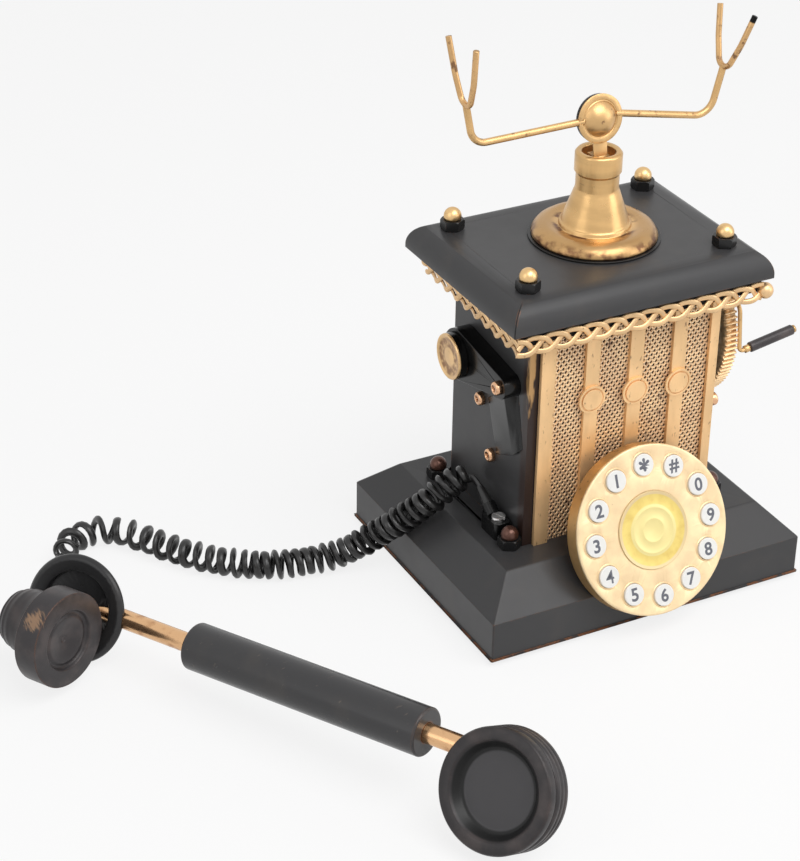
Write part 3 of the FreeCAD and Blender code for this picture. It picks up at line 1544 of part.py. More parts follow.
def mouth_cap():
    """Straight-sided cap; its face has a flat ring, a groove and a shallow cone with a dimple."""
    r = mouth_cap_radius
    back = -mouth_cap_thickness
    ring = mouth_ring_radius
    groove = -mouth_groove_depth
    outline = [(0, back), (r - 0.4, back), (r, back + 0.4), (r, -0.4), (r - 0.4, 0), (ring, 0), (ring - 0.5, -0.3),
               (ring - 1.3, groove), (ring - 2.6, groove), (ring - 3.4, groove + 0.8), (ring - 5.0, groove + 0.7),
               (2.2, groove - 1.0), (1.2, groove - 1.6), (0, groove - 1.6)]
    cap = placed(turned(outline), mouth_placement())
    return cap.cut(mouth_hollow())


def ear_placement():
    return FreeCAD.Placement(V(ear_x, ear_y, ear_face_z), FreeCAD.Rotation())


def ear_hollow():
    """Space for the capsule in the body, closed by the cap."""
    depth = ear_thickness - ear_back_wall
    capsule = Part.makeCylinder(capsule_radius, depth - ear_cap_thickness, V(0, 0, -depth))
    return placed(capsule, ear_placement())


def ear_body():
    """Ridged body of the receiver; the rod enters its side."""
    r = ear_radius
    back = -ear_thickness
    seam = -ear_cap_thickness
    outline = [(0, back), (r - 0.8, back), (r, back + 0.8), (r, back + 2.4), (r - 0.5, back + 2.8),
               (r - 0.5, back + 3.4), (r, back + 3.8), (r, back + 5.4), (r - 0.5, back + 5.8), (r - 0.5, back + 6.4),
               (r, back + 6.8), (r, seam - 1.2), (r - 1.4, seam), (0, seam)]
    body = placed(turned(outline), ear_placement()).cut(ear_hollow())
    return body.cut(bar(V(rod_start, 0, 0), rod_end(), rod_radius))


def ear_cap():
    r = ear_radius
    seam = -ear_cap_thickness
    dish = -ear_dish_depth
    outline = [(0, seam), (r - 1.4, seam), (r - 0.2, seam + 1.0), (r, seam + 1.8), (r, -1.2), (r - 1.0, 0),
               (ear_dish_radius + 0.7, 0), (ear_dish_radius, -0.5), (ear_dish_floor + 2.2, dish + 1.0),
               (ear_dish_floor + 1.4, dish + 0.2), (ear_dish_floor, dish), (0, dish)]
    cap = placed(turned(outline), ear_placement())
    return cap.cut(bar(V(rod_start, 0, 0), rod_end(), rod_radius))


def handset_capsules():
    """The receiver and the transmitter, the same insert at each end."""
    receiver = Part.makeCylinder(capsule_radius, capsule_thickness, V(0, 0, ear_back_wall - ear_thickness))
    transmitter = Part.makeCylinder(capsule_radius, capsule_thickness, V(0, 0, -mouth_cap_thickness))
    return [placed(receiver, ear_placement()), placed(transmitter, mouth_placement())]


def main():
    os.makedirs("parts", exist_ok=True)
    single = [base_shell, bottom_plate, tower_shell, lid, lid_frame, braid_trim, grille_mesh, finial_washer,
              finial, cradle_stem, cradle_back_disc, cradle_hub, cradle_spring, hook_switch, dial_drum, dial_face,
              dial_centre_disc, dial_board, drive_gear, crank_rod, crank_grip, pinion_shaft, magneto_body,
              side_cover, side_knob, side_knob_cap, volume_control, ringer_speaker, curly_cord, cord_clamp,
              clamp_screw]
    groups = [rubber_feet, hex_nuts, lid_ball_bolts, base_ball_bolts, grille_strips, cradle_arms, cradle_forks,
              shaft_bushes, side_eyelets]
    handset = [handset_rod, handset_grip, saucer, mouth_bulb, mouth_cap, ear_body, ear_cap]
    for build in single:
        export(build.__name__, [build()])
    for build in groups:
        export(build.__name__, build())
    for name, place in key_places():
        export("key_" + name, [key(place)])
    lying = handset_placement()
    print("handset pitch and height:", lying.Rotation.toEuler(), lying.Base)
    for build in handset:
        export(build.__name__, [placed(build(), lying)])
    export("handset_capsules", [placed(capsule, lying) for capsule in handset_capsules()])


main()
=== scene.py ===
import bmesh
import bpy
import math
from mathutils import Matrix, Vector


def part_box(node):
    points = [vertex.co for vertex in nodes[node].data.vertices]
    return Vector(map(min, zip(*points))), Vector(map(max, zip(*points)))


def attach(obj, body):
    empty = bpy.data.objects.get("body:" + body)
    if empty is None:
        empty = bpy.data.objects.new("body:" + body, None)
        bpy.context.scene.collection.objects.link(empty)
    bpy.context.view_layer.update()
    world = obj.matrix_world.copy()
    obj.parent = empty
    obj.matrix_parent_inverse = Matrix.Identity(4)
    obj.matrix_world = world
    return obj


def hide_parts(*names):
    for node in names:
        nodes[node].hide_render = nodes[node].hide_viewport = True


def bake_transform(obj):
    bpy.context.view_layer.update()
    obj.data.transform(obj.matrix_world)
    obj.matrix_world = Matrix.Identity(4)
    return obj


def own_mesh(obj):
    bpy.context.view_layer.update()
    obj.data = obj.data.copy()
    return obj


# A desk telephone in the old French style. Everything is in metres, in the part's own frame:
# X to the right along the front, -Y towards the user, Z up, the table at Z = 0.

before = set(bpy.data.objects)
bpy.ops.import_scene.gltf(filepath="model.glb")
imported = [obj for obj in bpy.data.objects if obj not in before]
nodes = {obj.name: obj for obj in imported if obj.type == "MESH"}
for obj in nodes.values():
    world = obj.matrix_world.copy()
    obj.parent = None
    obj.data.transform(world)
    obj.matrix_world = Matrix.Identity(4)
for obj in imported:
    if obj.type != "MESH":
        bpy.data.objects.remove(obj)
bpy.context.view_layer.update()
mm = 0.001


# Camera, where the photograph was taken from

camera_place = Vector((-542.616, -840.723, 649.275)) * mm
camera_azimuth = math.radians(-27.889)
camera_elevation = math.radians(30.330)
camera_roll = math.radians(0.898)
camera_lens = 99.67
film_height = 36.0


def make_camera():
    """The camera at the photograph's place, looking along its azimuth and down by its elevation."""
    forward = Vector((-math.sin(camera_azimuth) * math.cos(camera_elevation),
                      math.cos(camera_azimuth) * math.cos(camera_elevation), -math.sin(camera_elevation)))
    turn = forward.to_track_quat("-Z", "Y").to_matrix().to_4x4()
    data = bpy.data.cameras.new("camera")
    data.sensor_fit = "VERTICAL"
    data.sensor_height = film_height
    data.lens = camera_lens
    data.clip_end = 20.0
    camera = bpy.data.objects.new("camera", data)
    bpy.context.scene.collection.objects.link(camera)
    camera.matrix_world = Matrix.Translation(camera_place) @ turn @ Matrix.Rotation(camera_roll, 4, "Z")
    bpy.context.scene.camera = camera


# Materials: a small builder, then one function per finish

class Finish:
    """A material being made; each method adds a node and gives back its output."""

    def __init__(self, name):
        self.material = bpy.data.materials.new(name)
        self.material.use_nodes = True
        self.tree = self.material.node_tree
        self.surface = self.tree.nodes["Principled BSDF"]
        self.place = self.add("ShaderNodeTexCoord").outputs["Object"]

    def add(self, kind, **settings):
        node = self.tree.nodes.new(kind)
        for name, value in settings.items():
            setattr(node, name, value)
        return node

    def feed(self, socket, value):
        if isinstance(value, bpy.types.NodeSocket):
            self.tree.links.new(value, socket)
        else:
            socket.default_value = value

    def set(self, **values):
        """Sets the surface's inputs; an underscore in a name stands for a space."""
        for name, value in values.items():
            self.feed(self.surface.inputs[name.replace("_", " ")], value)

    def calc(self, operation, *values):
        node = self.add("ShaderNodeMath", operation=operation)
        for socket, value in zip(node.inputs, values):
            self.feed(socket, value)
        return node.outputs[0]

    def noise(self, size, detail=3.0, stretch=(1, 1, 1), place=None):
        """Noise from 0 to 1 whose lumps are about that many millimetres."""
        spread = self.add("ShaderNodeMapping")
        self.feed(spread.inputs["Vector"], place or self.place)
        spread.inputs["Scale"].default_value = [1 / (size * mm * s) for s in stretch]
        node = self.add("ShaderNodeTexNoise")
        self.feed(node.inputs["Vector"], spread.outputs[0])
        node.inputs["Scale"].default_value = 1.0
        node.inputs["Detail"].default_value = detail
        return node.outputs["Fac"]

    def step(self, value, low, high):
        """0 below low, 1 above high and smooth between; high may be the smaller."""
        node = self.add("ShaderNodeMapRange", interpolation_type="SMOOTHSTEP")
        self.feed(node.inputs["Value"], value)
        node.inputs["From Min"].default_value = min(low, high)
        node.inputs["From Max"].default_value = max(low, high)
        node.inputs["To Min"].default_value = 0.0 if high > low else 1.0
        node.inputs["To Max"].default_value = 1.0 if high > low else 0.0
        return node.outputs["Result"]

    def blend(self, share, first, second):
        """The first colour, and the second where share is 1."""
        node = self.add("ShaderNodeMix", data_type="RGBA")
        self.feed(node.inputs[0], share)
        for socket, value in ((node.inputs[6], first), (node.inputs[7], second)):
            self.feed(socket, value if isinstance(value, bpy.types.NodeSocket) else (*value, 1.0))
        return node.outputs[2]

    def edges(self, reach):
        """1 on an edge and 0 away from it, within about that many millimetres."""
        soft = self.add("ShaderNodeBevel", samples=6)
        soft.inputs["Radius"].default_value = reach * mm
        flat = self.add("ShaderNodeNewGeometry").outputs["Normal"]
        node = self.add("ShaderNodeVectorMath", operation="DOT_PRODUCT")
        self.feed(node.inputs[0], soft.outputs[0])
        self.feed(node.inputs[1], flat)
        return self.step(node.outputs["Value"], 0.985, 0.86)

    def part(self, index):
        """The place's X, Y or Z in metres, by its index."""
        parts = self.add("ShaderNodeSeparateXYZ")
        self.feed(parts.inputs[0], self.place)
        return parts.outputs[index]

    def vector(self, operation, first, second=None):
        node = self.add("ShaderNodeVectorMath", operation=operation)
        self.feed(node.inputs[0], first)
        if second is not None:
            self.feed(node.inputs[1], second)
        return node

    def spot_distance(self, spot):
        """Distance in metres from a spot."""
        return self.vector("DISTANCE", self.place, tuple(spot)).outputs["Value"]

    def axis_distance(self, spot, direction):
        """Distance in metres from the axis through a spot."""
        offset = self.vector("SUBTRACT", self.place, tuple(spot)).outputs[0]
        turned_away = self.vector("CROSS_PRODUCT", offset, tuple(direction)).outputs[0]
        return self.vector("LENGTH", turned_away).outputs["Value"]

    def recolour(self, share, colour):
        """Lays another colour over the present one where share is 1."""
        self.set(Base_Color=self.blend(share, self.surface.inputs["Base Color"].links[0].from_socket, colour))

    def relief(self, height, depth, strength=1.0):
        node = self.add("ShaderNodeBump")
        node.inputs["Strength"].default_value = strength
        node.inputs["Distance"].default_value = depth * mm
        self.feed(node.inputs["Height"], height)
        self.set(Normal=node.outputs[0])


paint_black = (0.046, 0.0455, 0.047)
paint_stain = (0.070, 0.063, 0.058)
copper_wear = (0.24, 0.095, 0.040)
gold_wear = (0.50, 0.30, 0.13)
end_black = (0.024, 0.0215, 0.0225)
end_brown = (0.050, 0.041, 0.040)
rim_brown = (0.15, 0.07, 0.04)
corner_brown = (0.030, 0.017, 0.014)
# Brown for the finial's rim grime and for the shade painted in its hollow.
grime_and_shade_brown = (0.17, 0.08, 0.04)
flange_brown = (0.34, 0.19, 0.08)
# Brown painted as shade in the knob face's hollow.
knob_hollow_shade = (0.30, 0.17, 0.09)
slit_black = (0.002, 0.002, 0.002)
deep_black = (0.006, 0.006, 0.006)


def black_paint(name, edge_reach=0.9, edge_share=0.55, gloss=0.36, depth=1.0):
    """Satin black paint, rubbed to copper brown along its edges; a smaller depth is a deeper black."""
    f = Finish(name)
    patchy = f.step(f.noise(5.0, 4.0), 0.72 - edge_share * 0.5, 0.78 - edge_share * 0.3)
    rubbed = f.calc("MULTIPLY", f.edges(edge_reach), patchy)
    stain = f.calc("MULTIPLY", f.step(f.noise(22.0, 5.0), 0.52, 0.78), 0.5)
    base = f.blend(stain, [depth * c for c in paint_black], [depth * c for c in paint_stain])
    f.set(Base_Color=f.blend(rubbed, base, copper_wear))
    f.set(Metallic=f.calc("MULTIPLY", rubbed, 0.5))
    f.set(Roughness=f.calc("ADD", f.calc("MULTIPLY", f.noise(9.0, 5.0), 0.14), gloss - 0.07))
    f.set(Specular_IOR_Level=0.3)
    f.relief(f.calc("ADD", f.noise(1.2, 2.0), f.calc("MULTIPLY", f.noise(14.0, 2.0), 3.0)), 0.02, 0.35)
    return f


def lacquer(name, edge_share=0.25):
    """Deep glossy black, hardly worn."""
    return black_paint(name, 0.4, edge_share, 0.22, 0.10)


def lid_paint(corner_x, corner_y):
    """The lid's paint, with a dark slit and a copper rim along the mitre of its front left corner."""
    f = black_paint("lid_paint")
    along = f.calc("SUBTRACT", f.part(0), corner_x)
    off = f.calc("ABSOLUTE", f.calc("SUBTRACT", along, f.calc("SUBTRACT", f.part(1), corner_y)))
    near = f.step(along, 9.5 * mm, 5.0 * mm)
    patchy = f.step(f.noise(4.0, 4.0), 0.40, 0.65)
    rim = f.calc("MULTIPLY", f.calc("MULTIPLY", near, patchy), f.step(off, 1.3 * mm, 0.6 * mm))
    slit = f.calc("MULTIPLY", near, f.step(off, 0.55 * mm, 0.3 * mm))
    f.recolour(rim, rim_brown)
    f.recolour(slit, slit_black)
    return f


def worn_corner_paint(corner_x, corner_y):
    """The tower's paint: brown along its front left corner, rubbed to gold higher up."""
    f = black_paint("tower_paint")
    distance = f.axis_distance((corner_x, corner_y, 0), (0, 0, 1))
    f.recolour(f.step(distance, 6.5 * mm, 3.5 * mm), corner_brown)
    higher_up = f.step(f.part(2), 75.0 * mm, 135.0 * mm)
    streaks = f.calc("MULTIPLY", f.noise(2.0, 5.0, stretch=(1, 1, 5)), higher_up)
    worn = f.step(f.calc("MULTIPLY", f.step(distance, 6.0 * mm, 1.0 * mm), streaks), 0.30, 0.46)
    f.recolour(worn, gold_wear)
    f.set(Metallic=f.calc("MULTIPLY", worn, 0.6))
    return f


def gold_paint(name, tone, shine, specks, speck_size, metal=0.8, grain=(1, 1, 1)):
    """Antique gold: a brushed-on metallic paint with brown worn specks; grain stretches them."""
    f = Finish(name)
    dark = (tone[0] * 0.40, tone[1] * 0.33, tone[2] * 0.32)
    pale = [min(1.0, c * 1.22) for c in tone]
    cloud = f.step(f.noise(11.0, 5.0, grain), 0.35, 0.7)
    rub = f.step(f.noise(speck_size, 6.0, grain), 0.74 - 0.22 * specks, 0.82 - 0.18 * specks)
    colour = f.blend(cloud, tone, pale)
    f.set(Base_Color=f.blend(rub, colour, dark))
    f.set(Metallic=f.calc("SUBTRACT", metal, f.calc("MULTIPLY", rub, 0.35)))
    f.set(Roughness=f.calc("ADD", f.calc("MULTIPLY", f.noise(4.0, 5.0), 0.22), shine - 0.08))
    f.relief(f.calc("ADD", f.noise(0.9, 3.0, grain), f.noise(3.5, 3.0)), 0.05, 0.5)
    return f


def finial_gold():
    """Brushed gold, browner on the flange, with grime on its rim and painted shade in the hollow round the
    bead.
    """
    low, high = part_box("finial")
    f = gold_paint("finial_gold", (0.60, 0.38, 0.165), 0.28, 0.25, 5.0, 0.85, (3, 3, 0.6))
    radius = f.axis_distance(((low.x + high.x) / 2, (low.y + high.y) / 2, 0), (0, 0, 1))
    rim = f.step(radius, 26.0 * mm, 29.0 * mm)
    hollow = f.calc("MULTIPLY", f.step(radius, 16.6 * mm, 17.4 * mm), f.step(radius, 21.0 * mm, 18.5 * mm))
    patchy = f.step(f.noise(6.0, 5.0), 0.44, 0.62)
    f.recolour(f.calc("MULTIPLY", f.step(radius, 17.0 * mm, 21.0 * mm), 0.5), flange_brown)
    # Brown grime on the rim, and painted shade in the hollow round the bead.
    f.recolour(f.calc("MULTIPLY", f.calc("MAXIMUM", rim, hollow), patchy), grime_and_shade_brown)
    return f


def fork_gold(tip):
    """The forks' gold, black on one tip."""
    f = gold_paint("fork_gold", (0.58, 0.36, 0.165), 0.34, 0.7, 3.5)
    f.recolour(f.step(f.spot_distance(tip), 3.6 * mm, 2.8 * mm), deep_black)
    return f


def worn_brown(name, edge_reach=0.8, lift=1.0):
    """Brown-black finish of the handset's ends, copper where hands rub it; lift makes it paler."""
    f = Finish(name)
    rubbed = f.calc("MULTIPLY", f.edges(edge_reach), f.step(f.noise(4.0, 4.0), 0.30, 0.52))
    cloud = f.step(f.noise(12.0, 5.0), 0.40, 0.72)
    base = f.blend(cloud, [lift * c for c in end_black], [lift * c for c in end_brown])
    f.set(Base_Color=f.blend(rubbed, base, copper_wear))
    f.set(Metallic=f.calc("ADD", f.calc("MULTIPLY", rubbed, 0.4), 0.15))
    f.set(Roughness=f.calc("ADD", f.calc("MULTIPLY", f.noise(5.0, 5.0), 0.18), 0.30))
    f.set(Specular_IOR_Level=0.35)
    f.relief(f.calc("ADD", f.noise(1.0, 2.0), f.noise(6.0, 3.0)), 0.03, 0.5)
    return f


def mouth_brown():
    """The mouthpiece's rosy brown, with one pale streaky patch on its cap's side that is a painted highlight.
    """
    f = worn_brown("mouth_brown", 0.9, 1.6)
    streaks = f.noise(2.2, 6.0, (0.35, 3.0, 1.0))
    # Painted highlight: a pale streaky patch round the spot where light catches the cap's side.
    highlight_share = f.calc("MULTIPLY", f.step(f.spot_distance(mouth_highlight_spot), 12.0 * mm, 1.0 * mm), streaks)
    f.recolour(f.calc("MULTIPLY", f.step(highlight_share, 0.30, 0.50), 0.8), (0.36, 0.22, 0.13))
    f.relief(f.noise(0.7, 2.0), 0.06, 0.6)
    return f


def receiver_brown_and_shade():
    """The receiver cap's brown, with painted shade on the dish's wall and a smooth grey floor inside it."""
    f = worn_brown("receiver_brown_and_shade", 1.5, 1.2)
    distance = f.axis_distance(ear_middle, ear_axis)
    # Painted shade: deep black over the dish's wall, then a smooth grey on its floor.
    f.recolour(f.step(distance, 20.8 * mm, 20.0 * mm), deep_black)
    f.recolour(f.step(distance, 17.0 * mm, 16.0 * mm), (0.055, 0.053, 0.056))
    return f


def scratched_black():
    """The grip's black lacquer with a few pale scratches."""
    f = black_paint("grip_paint", 1.6, 1.1, 0.25, 1.1)
    lines = f.step(f.noise(3.0, 5.0, (2.5, 0.6, 1.0)), 0.66, 0.74)
    f.recolour(f.calc("MULTIPLY", lines, 0.5), (0.16, 0.13, 0.11))
    return f


def polished(name, tone, smudge, shine=0.16):
    """Bare metal with darker smudges where it has tarnished."""
    f = Finish(name)
    tarnish = f.step(f.noise(7.0, 6.0, stretch=(1, 1, 0.5)), 0.50, 0.80)
    f.set(Base_Color=f.blend(tarnish, tone, smudge))
    f.set(Metallic=1.0)
    f.set(Roughness=f.calc("ADD", f.calc("MULTIPLY", tarnish, 0.25), shine))
    f.relief(f.noise(1.5, 3.0), 0.02, 0.4)
    return f


def moulded(name, tone, rough=0.45):
    """Moulded plastic or rubber with a fine grain."""
    f = Finish(name)
    f.set(Base_Color=f.blend(f.noise(8.0, 3.0), [c * 0.85 for c in tone], [min(1.0, c * 1.15) for c in tone]))
    f.set(Roughness=f.calc("ADD", f.calc("MULTIPLY", f.noise(1.0, 2.0), 0.12), rough - 0.06))
    f.relief(f.noise(0.4, 2.0), 0.01, 0.4)
    return f


def glossy_cord():
    """The cord's black vinyl."""
    f = Finish("cord_vinyl")
    f.set(Base_Color=f.blend(f.noise(6.0, 3.0), (0.010, 0.010, 0.0105), (0.020, 0.019, 0.0185)))
    f.set(Roughness=f.calc("ADD", f.calc("MULTIPLY", f.noise(5.0, 3.0), 0.10), 0.25))
    f.relief(f.noise(2.0, 2.0), 0.02, 0.3)
    return f


def key_white():
    """The keys' white plastic."""
    f = Finish("key_white")
    f.set(Base_Color=f.blend(f.noise(3.0, 3.0), (0.80, 0.79, 0.76), (0.88, 0.87, 0.85)))
    f.set(Roughness=0.22)
    f.relief(f.noise(4.0, 1.0), 0.01, 0.2)
    return f


def digit_ink():
    """Dark blue-grey print."""
    f = Finish("digit_ink")
    f.set(Base_Color=f.blend(f.noise(1.0, 3.0), (0.10, 0.105, 0.13), (0.15, 0.155, 0.18)))
    f.set(Roughness=0.4)
    return f


# Shapes that several pieces share

piece_crease = math.radians(40)
solid_crease = math.radians(35)
weld_reach = 0.001 * mm

def piece(name, part, finish, body, place=None):
    """A smooth mesh piece that moves with a body, or stays unattached when it names none."""
    mesh = bpy.data.meshes.new(name)
    mesh.from_pydata(part[0], [], part[1])
    tidy = bmesh.new()
    tidy.from_mesh(mesh)
    bmesh.ops.remove_doubles(tidy, verts=tidy.verts, dist=weld_reach)
    bmesh.ops.recalc_face_normals(tidy, faces=tidy.faces)
    tidy.to_mesh(mesh)
    tidy.free()
    mesh.materials.append(finish)
    mesh.polygons.foreach_set("use_smooth", [True] * len(mesh.polygons))
    mesh.set_sharp_from_angle(angle=piece_crease)
    thing = bpy.data.objects.new(name, mesh)
    bpy.context.scene.collection.objects.link(thing)
    if place:
        thing.matrix_world = place
    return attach(thing, body) if body else thing


def swept(points, width, height, sides, first_normal, taper=1.0):
    """Vertices and faces of an oval bar along the points, width on the carried normal.

    taper is the size of its far end as a share of its near end."""
    vertices = []
    faces = []
    normal = Vector(first_normal)
    last = len(points) - 1
    for i, point in enumerate(points):
        heading = (points[min(i + 1, last)] - points[max(i - 1, 0)]).normalized()
        normal = (normal - heading * normal.dot(heading)).normalized()
        other = heading.cross(normal)
        scale = 1 + (taper - 1) * i / last
        for k in range(sides):
            angle = 2 * math.pi * k / sides
            side = normal * (width / 2 * math.cos(angle)) + other * (height / 2 * math.sin(angle))
            vertices.append(point + side * scale)
    for i in range(last):
        for k in range(sides):
            a = i * sides + k
            b = i * sides + (k + 1) % sides
            faces.append((a, b, b + sides, a + sides))
    faces.append(tuple(reversed(range(sides))))
    faces.append(tuple(range(last * sides, (last + 1) * sides)))
    return vertices, faces


def merged(parts):
    """One list of vertices and one of faces from several."""
    vertices = []
    faces = []
    for some_vertices, some_faces in parts:
        start = len(vertices)
        vertices += some_vertices
        faces += [tuple(start + v for v in face) for face in some_faces]
    return vertices, faces


def box_part(low, high):
    """Vertices and faces of an upright box between two corners."""
    xs, ys, zs = zip(low, high)
    vertices = [Vector((x, y, z)) for x in xs for y in ys for z in zs]
    faces = [(0, 1, 3, 2), (4, 6, 7, 5), (0, 4, 5, 1), (2, 3, 7, 6), (0, 2, 6, 4), (1, 5, 7, 3)]
    return vertices, faces


def turned(outline, sides=96):
    """Vertices and faces of a closed outline of (radius, height) turned about Z."""
    vertices = []
    faces = []
    count = len(outline)
    for k in range(sides):
        angle = 2 * math.pi * k / sides
        for radius, height in outline:
            vertices.append(Vector((radius * math.cos(angle), radius * math.sin(angle), height)))
    for k in range(sides):
        for i in range(count):
            a = k * count + i
            b = k * count + (i + 1) % count
            shift = ((k + 1) % sides - k) * count
            faces.append((a, b, b + shift, a + shift))
    return vertices, faces


def moved(part, matrix):
    """A part's vertices put elsewhere, with the same faces."""
    vertices, faces = part
    return [matrix @ Vector(v) for v in vertices], faces


def clad(name, finish, round_edge=0.0):
    """Gives a CAD node its finish, smooth rounds and, if asked, rounded edges of that many millimetres."""
    thing = nodes[name]
    thing.data.materials.clear()
    thing.data.materials.append(finish)
    if "custom_normal" in thing.data.attributes:
        thing.data.attributes.remove(thing.data.attributes["custom_normal"])
    thing.data.polygons.foreach_set("use_smooth", [True] * len(thing.data.polygons))
    weld = thing.modifiers.new("weld", "WELD")
    weld.merge_threshold = weld_reach
    if round_edge:
        bevel = thing.modifiers.new("round", "BEVEL")
        bevel.width = round_edge * mm
        bevel.segments = 2
        bevel.limit_method = "ANGLE"
        bevel.angle_limit = solid_crease
    thing.data.set_sharp_from_angle(angle=solid_crease)
    even = thing.modifiers.new("even", "WEIGHTED_NORMAL")
    even.keep_sharp = True


# Curly cord, laid on the same route as the part's cord

clamp_mouth = Vector((-57.4, -14.4, 49.6)) * mm
route_points = [(-57.4, -8.0, 53.4), (-58.2, -0.6, 57.6), (-62.8, 3.8, 56.6), (-69.6, 5.2, 51.6),
                (-76.8, 7.2, 45.0), (-84.2, 12.4, 36.8), (-91.8, 19.4, 27.6), (-100.8, 27.0, 17.6),
                (-112.0, 33.0, 9.4), (-125.4, 36.6, 7.4), (-140.0, 39.4, 7.4), (-154.0, 46.0, 7.4),
                (-167.0, 56.6, 7.4), (-177.6, 68.6, 7.4), (-186.4, 82.4, 7.4), (-194.6, 96.8, 7.4),
                (-204.6, 107.4, 7.4), (-217.4, 108.6, 7.4), (-229.6, 100.6, 7.4), (-239.6, 86.6, 8.4),
                (-248.0, 70.0, 13.0)]
cord_width = 4.1 * mm
cord_height = 2.7 * mm
relief_width = 5.4 * mm
relief_taper = 0.72
coil_radius = 5.5 * mm
coil_start = 14.0 * mm
coil_tail = 62.0 * mm
pitch_near = 4.9 * mm
pitch_far = 8.4 * mm
lead_pitch = 4.5 * mm
stretch_start = 0.45
stretch_share = 0.35
ramp_turns = 1.25
points_per_turn = 16
straight_steps = 6
tail_steps = 18
relief_length = 0.7 * coil_start
relief_steps = 7

# The handset as it lies on the table, in its own frame along the rod

handset_turn = Matrix.Rotation(math.radians(-62.4), 3, "Z") @ Matrix.Rotation(math.radians(-3.6472), 3, "Y") \
    @ Matrix.Rotation(math.radians(61.8), 3, "X")
handset_base = Vector((-244.4, 30.8, 21.1071)) * mm
handset_place = Matrix.Translation(handset_base) @ handset_turn.to_4x4()
rod_mouth = -6.1 * mm
rod_approach = -19.0 * mm
ear_in_handset = Vector((233.5, -11.0, 10.0)) * mm
ear_middle = handset_place @ ear_in_handset
ear_axis = handset_turn @ Vector((0, 0, 1))
# Middle of the highlight painted on the mouthpiece's cap.
mouth_highlight_spot = Vector((-280.5, -2.5, 44.5)) * mm


def cord_route():
    """The route as closely spaced points of one NURBS curve."""
    rod_end = [handset_place @ Vector((x, 0, 0)) for x in (rod_approach, rod_mouth)]
    controls = [clamp_mouth] + [Vector(p) * mm for p in route_points] + rod_end
    curve = bpy.data.curves.new("cord_route", "CURVE")
    curve.dimensions = "3D"
    spline = curve.splines.new("NURBS")
    spline.points.add(len(controls) - 1)
    for point, place in zip(spline.points, controls):
        point.co = (*place, 1.0)
    spline.order_u = 3
    spline.use_endpoint_u = True
    curve.resolution_u = 24
    thing = bpy.data.objects.new("cord_route", curve)
    mesh = bpy.data.meshes.new_from_object(thing)
    points = [v.co.copy() for v in mesh.vertices]
    bpy.data.objects.remove(thing)
    return points


def smooth(t):
    """0 below 0, 1 above 1 and smooth between."""
    t = max(0.0, min(1.0, t))
    return t * t * (3 - 2 * t)


def carried_frames(points):
    """(distance, point, heading, normal) along the points, with a normal that does not twist."""
    frames = []
    distance = 0.0
    normal = None
    last = len(points) - 1
    for i, point in enumerate(points):
        heading = (points[min(i + 1, last)] - points[max(i - 1, 0)]).normalized()
        if normal is None:
            normal = heading.cross(Vector((0, 0, 1)))
        else:
            distance += (point - points[i - 1]).length
        normal = (normal - heading * normal.dot(heading)).normalized()
        frames.append((distance, point, heading, normal))
    return frames


def frame_at(frames, distance):
    """(point, heading, normal) at a distance along the route."""
    low = 0
    high = len(frames) - 1
    while high - low > 1:
        middle = (low + high) // 2
        if frames[middle][0] > distance:
            high = middle
        else:
            low = middle
    share = (distance - frames[low][0]) / (frames[high][0] - frames[low][0])
    point, heading, normal = [frames[low][k].lerp(frames[high][k], share) for k in (1, 2, 3)]
    return point, heading.normalized(), normal.normalized()


def coil_pitch(share, turn):
    """Distance from curl to curl: tight near the telephone, wider near the handset and at the start."""
    steady = pitch_near + (pitch_far - pitch_near) * smooth((share - stretch_start) / stretch_share)
    return steady + lead_pitch * (1 - smooth(turn / ramp_turns))


def curly_line(frames):
    """The wire's middle line: straight, then wound round the route, then straight into the rod."""
    length = frames[-1][0]
    coil_end = length - coil_tail
    stations = [(coil_start, 0.0)]
    while stations[-1][0] < coil_end:
        at, turn = stations[-1]
        share = (at - coil_start) / (coil_end - coil_start)
        stations.append((at + coil_pitch(share, turn) / points_per_turn, turn + 1 / points_per_turn))
    turns = stations[-1][1]
    line = [frame_at(frames, coil_start * i / straight_steps)[0] for i in range(straight_steps)]
    for at, turn in stations:
        point, heading, normal = frame_at(frames, at)
        reach = coil_radius * smooth(turn / ramp_turns) * smooth((turns - turn) / ramp_turns)
        angle = 2 * math.pi * turn
        line.append(point + (normal * math.cos(angle) + heading.cross(normal) * math.sin(angle)) * reach)
    rest = length - stations[-1][0]
    line += [frame_at(frames, length - rest * (1 - i / tail_steps))[0] for i in range(1, tail_steps + 1)]
    return line


def curly_cord(finish):
    """The curled wire, left unattached, and its sleeve at the clamp, which moves with the telephone."""
    frames = carried_frames(cord_route())
    line = curly_line(frames)
    part = swept(line, cord_width, cord_height, 12, frames[0][2].cross(frames[0][3]))
    cord = piece("cord", part, finish, None)
    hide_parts("curly_cord")
    sleeve = [frame_at(frames, relief_length * i / relief_steps)[0] for i in range(relief_steps + 1)]
    relief = swept(sleeve, relief_width, relief_width, 24, (1, 0, 0), relief_taper)
    relief = piece("cord_relief", relief, finish, "telephone")
    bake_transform(cord)


# Grille: a fine lattice of slanting strands over the tower's front

strand_pitch = 2.8 * mm
strand_width = 1.05 * mm
lattice_inset = 1.6 * mm
strand_depth = 0.5 * mm
strand_slope = 1.36
strand_crown = 0.55
slot_count = 4
slot_left = -40.2 * mm
slot_pitch = 23.5 * mm
slot_width = 16.1 * mm
last_slot_width = 13.1 * mm
slot_margin = 4.0 * mm
cloth_gap = 0.2 * mm
cloth_thickness = 0.3 * mm


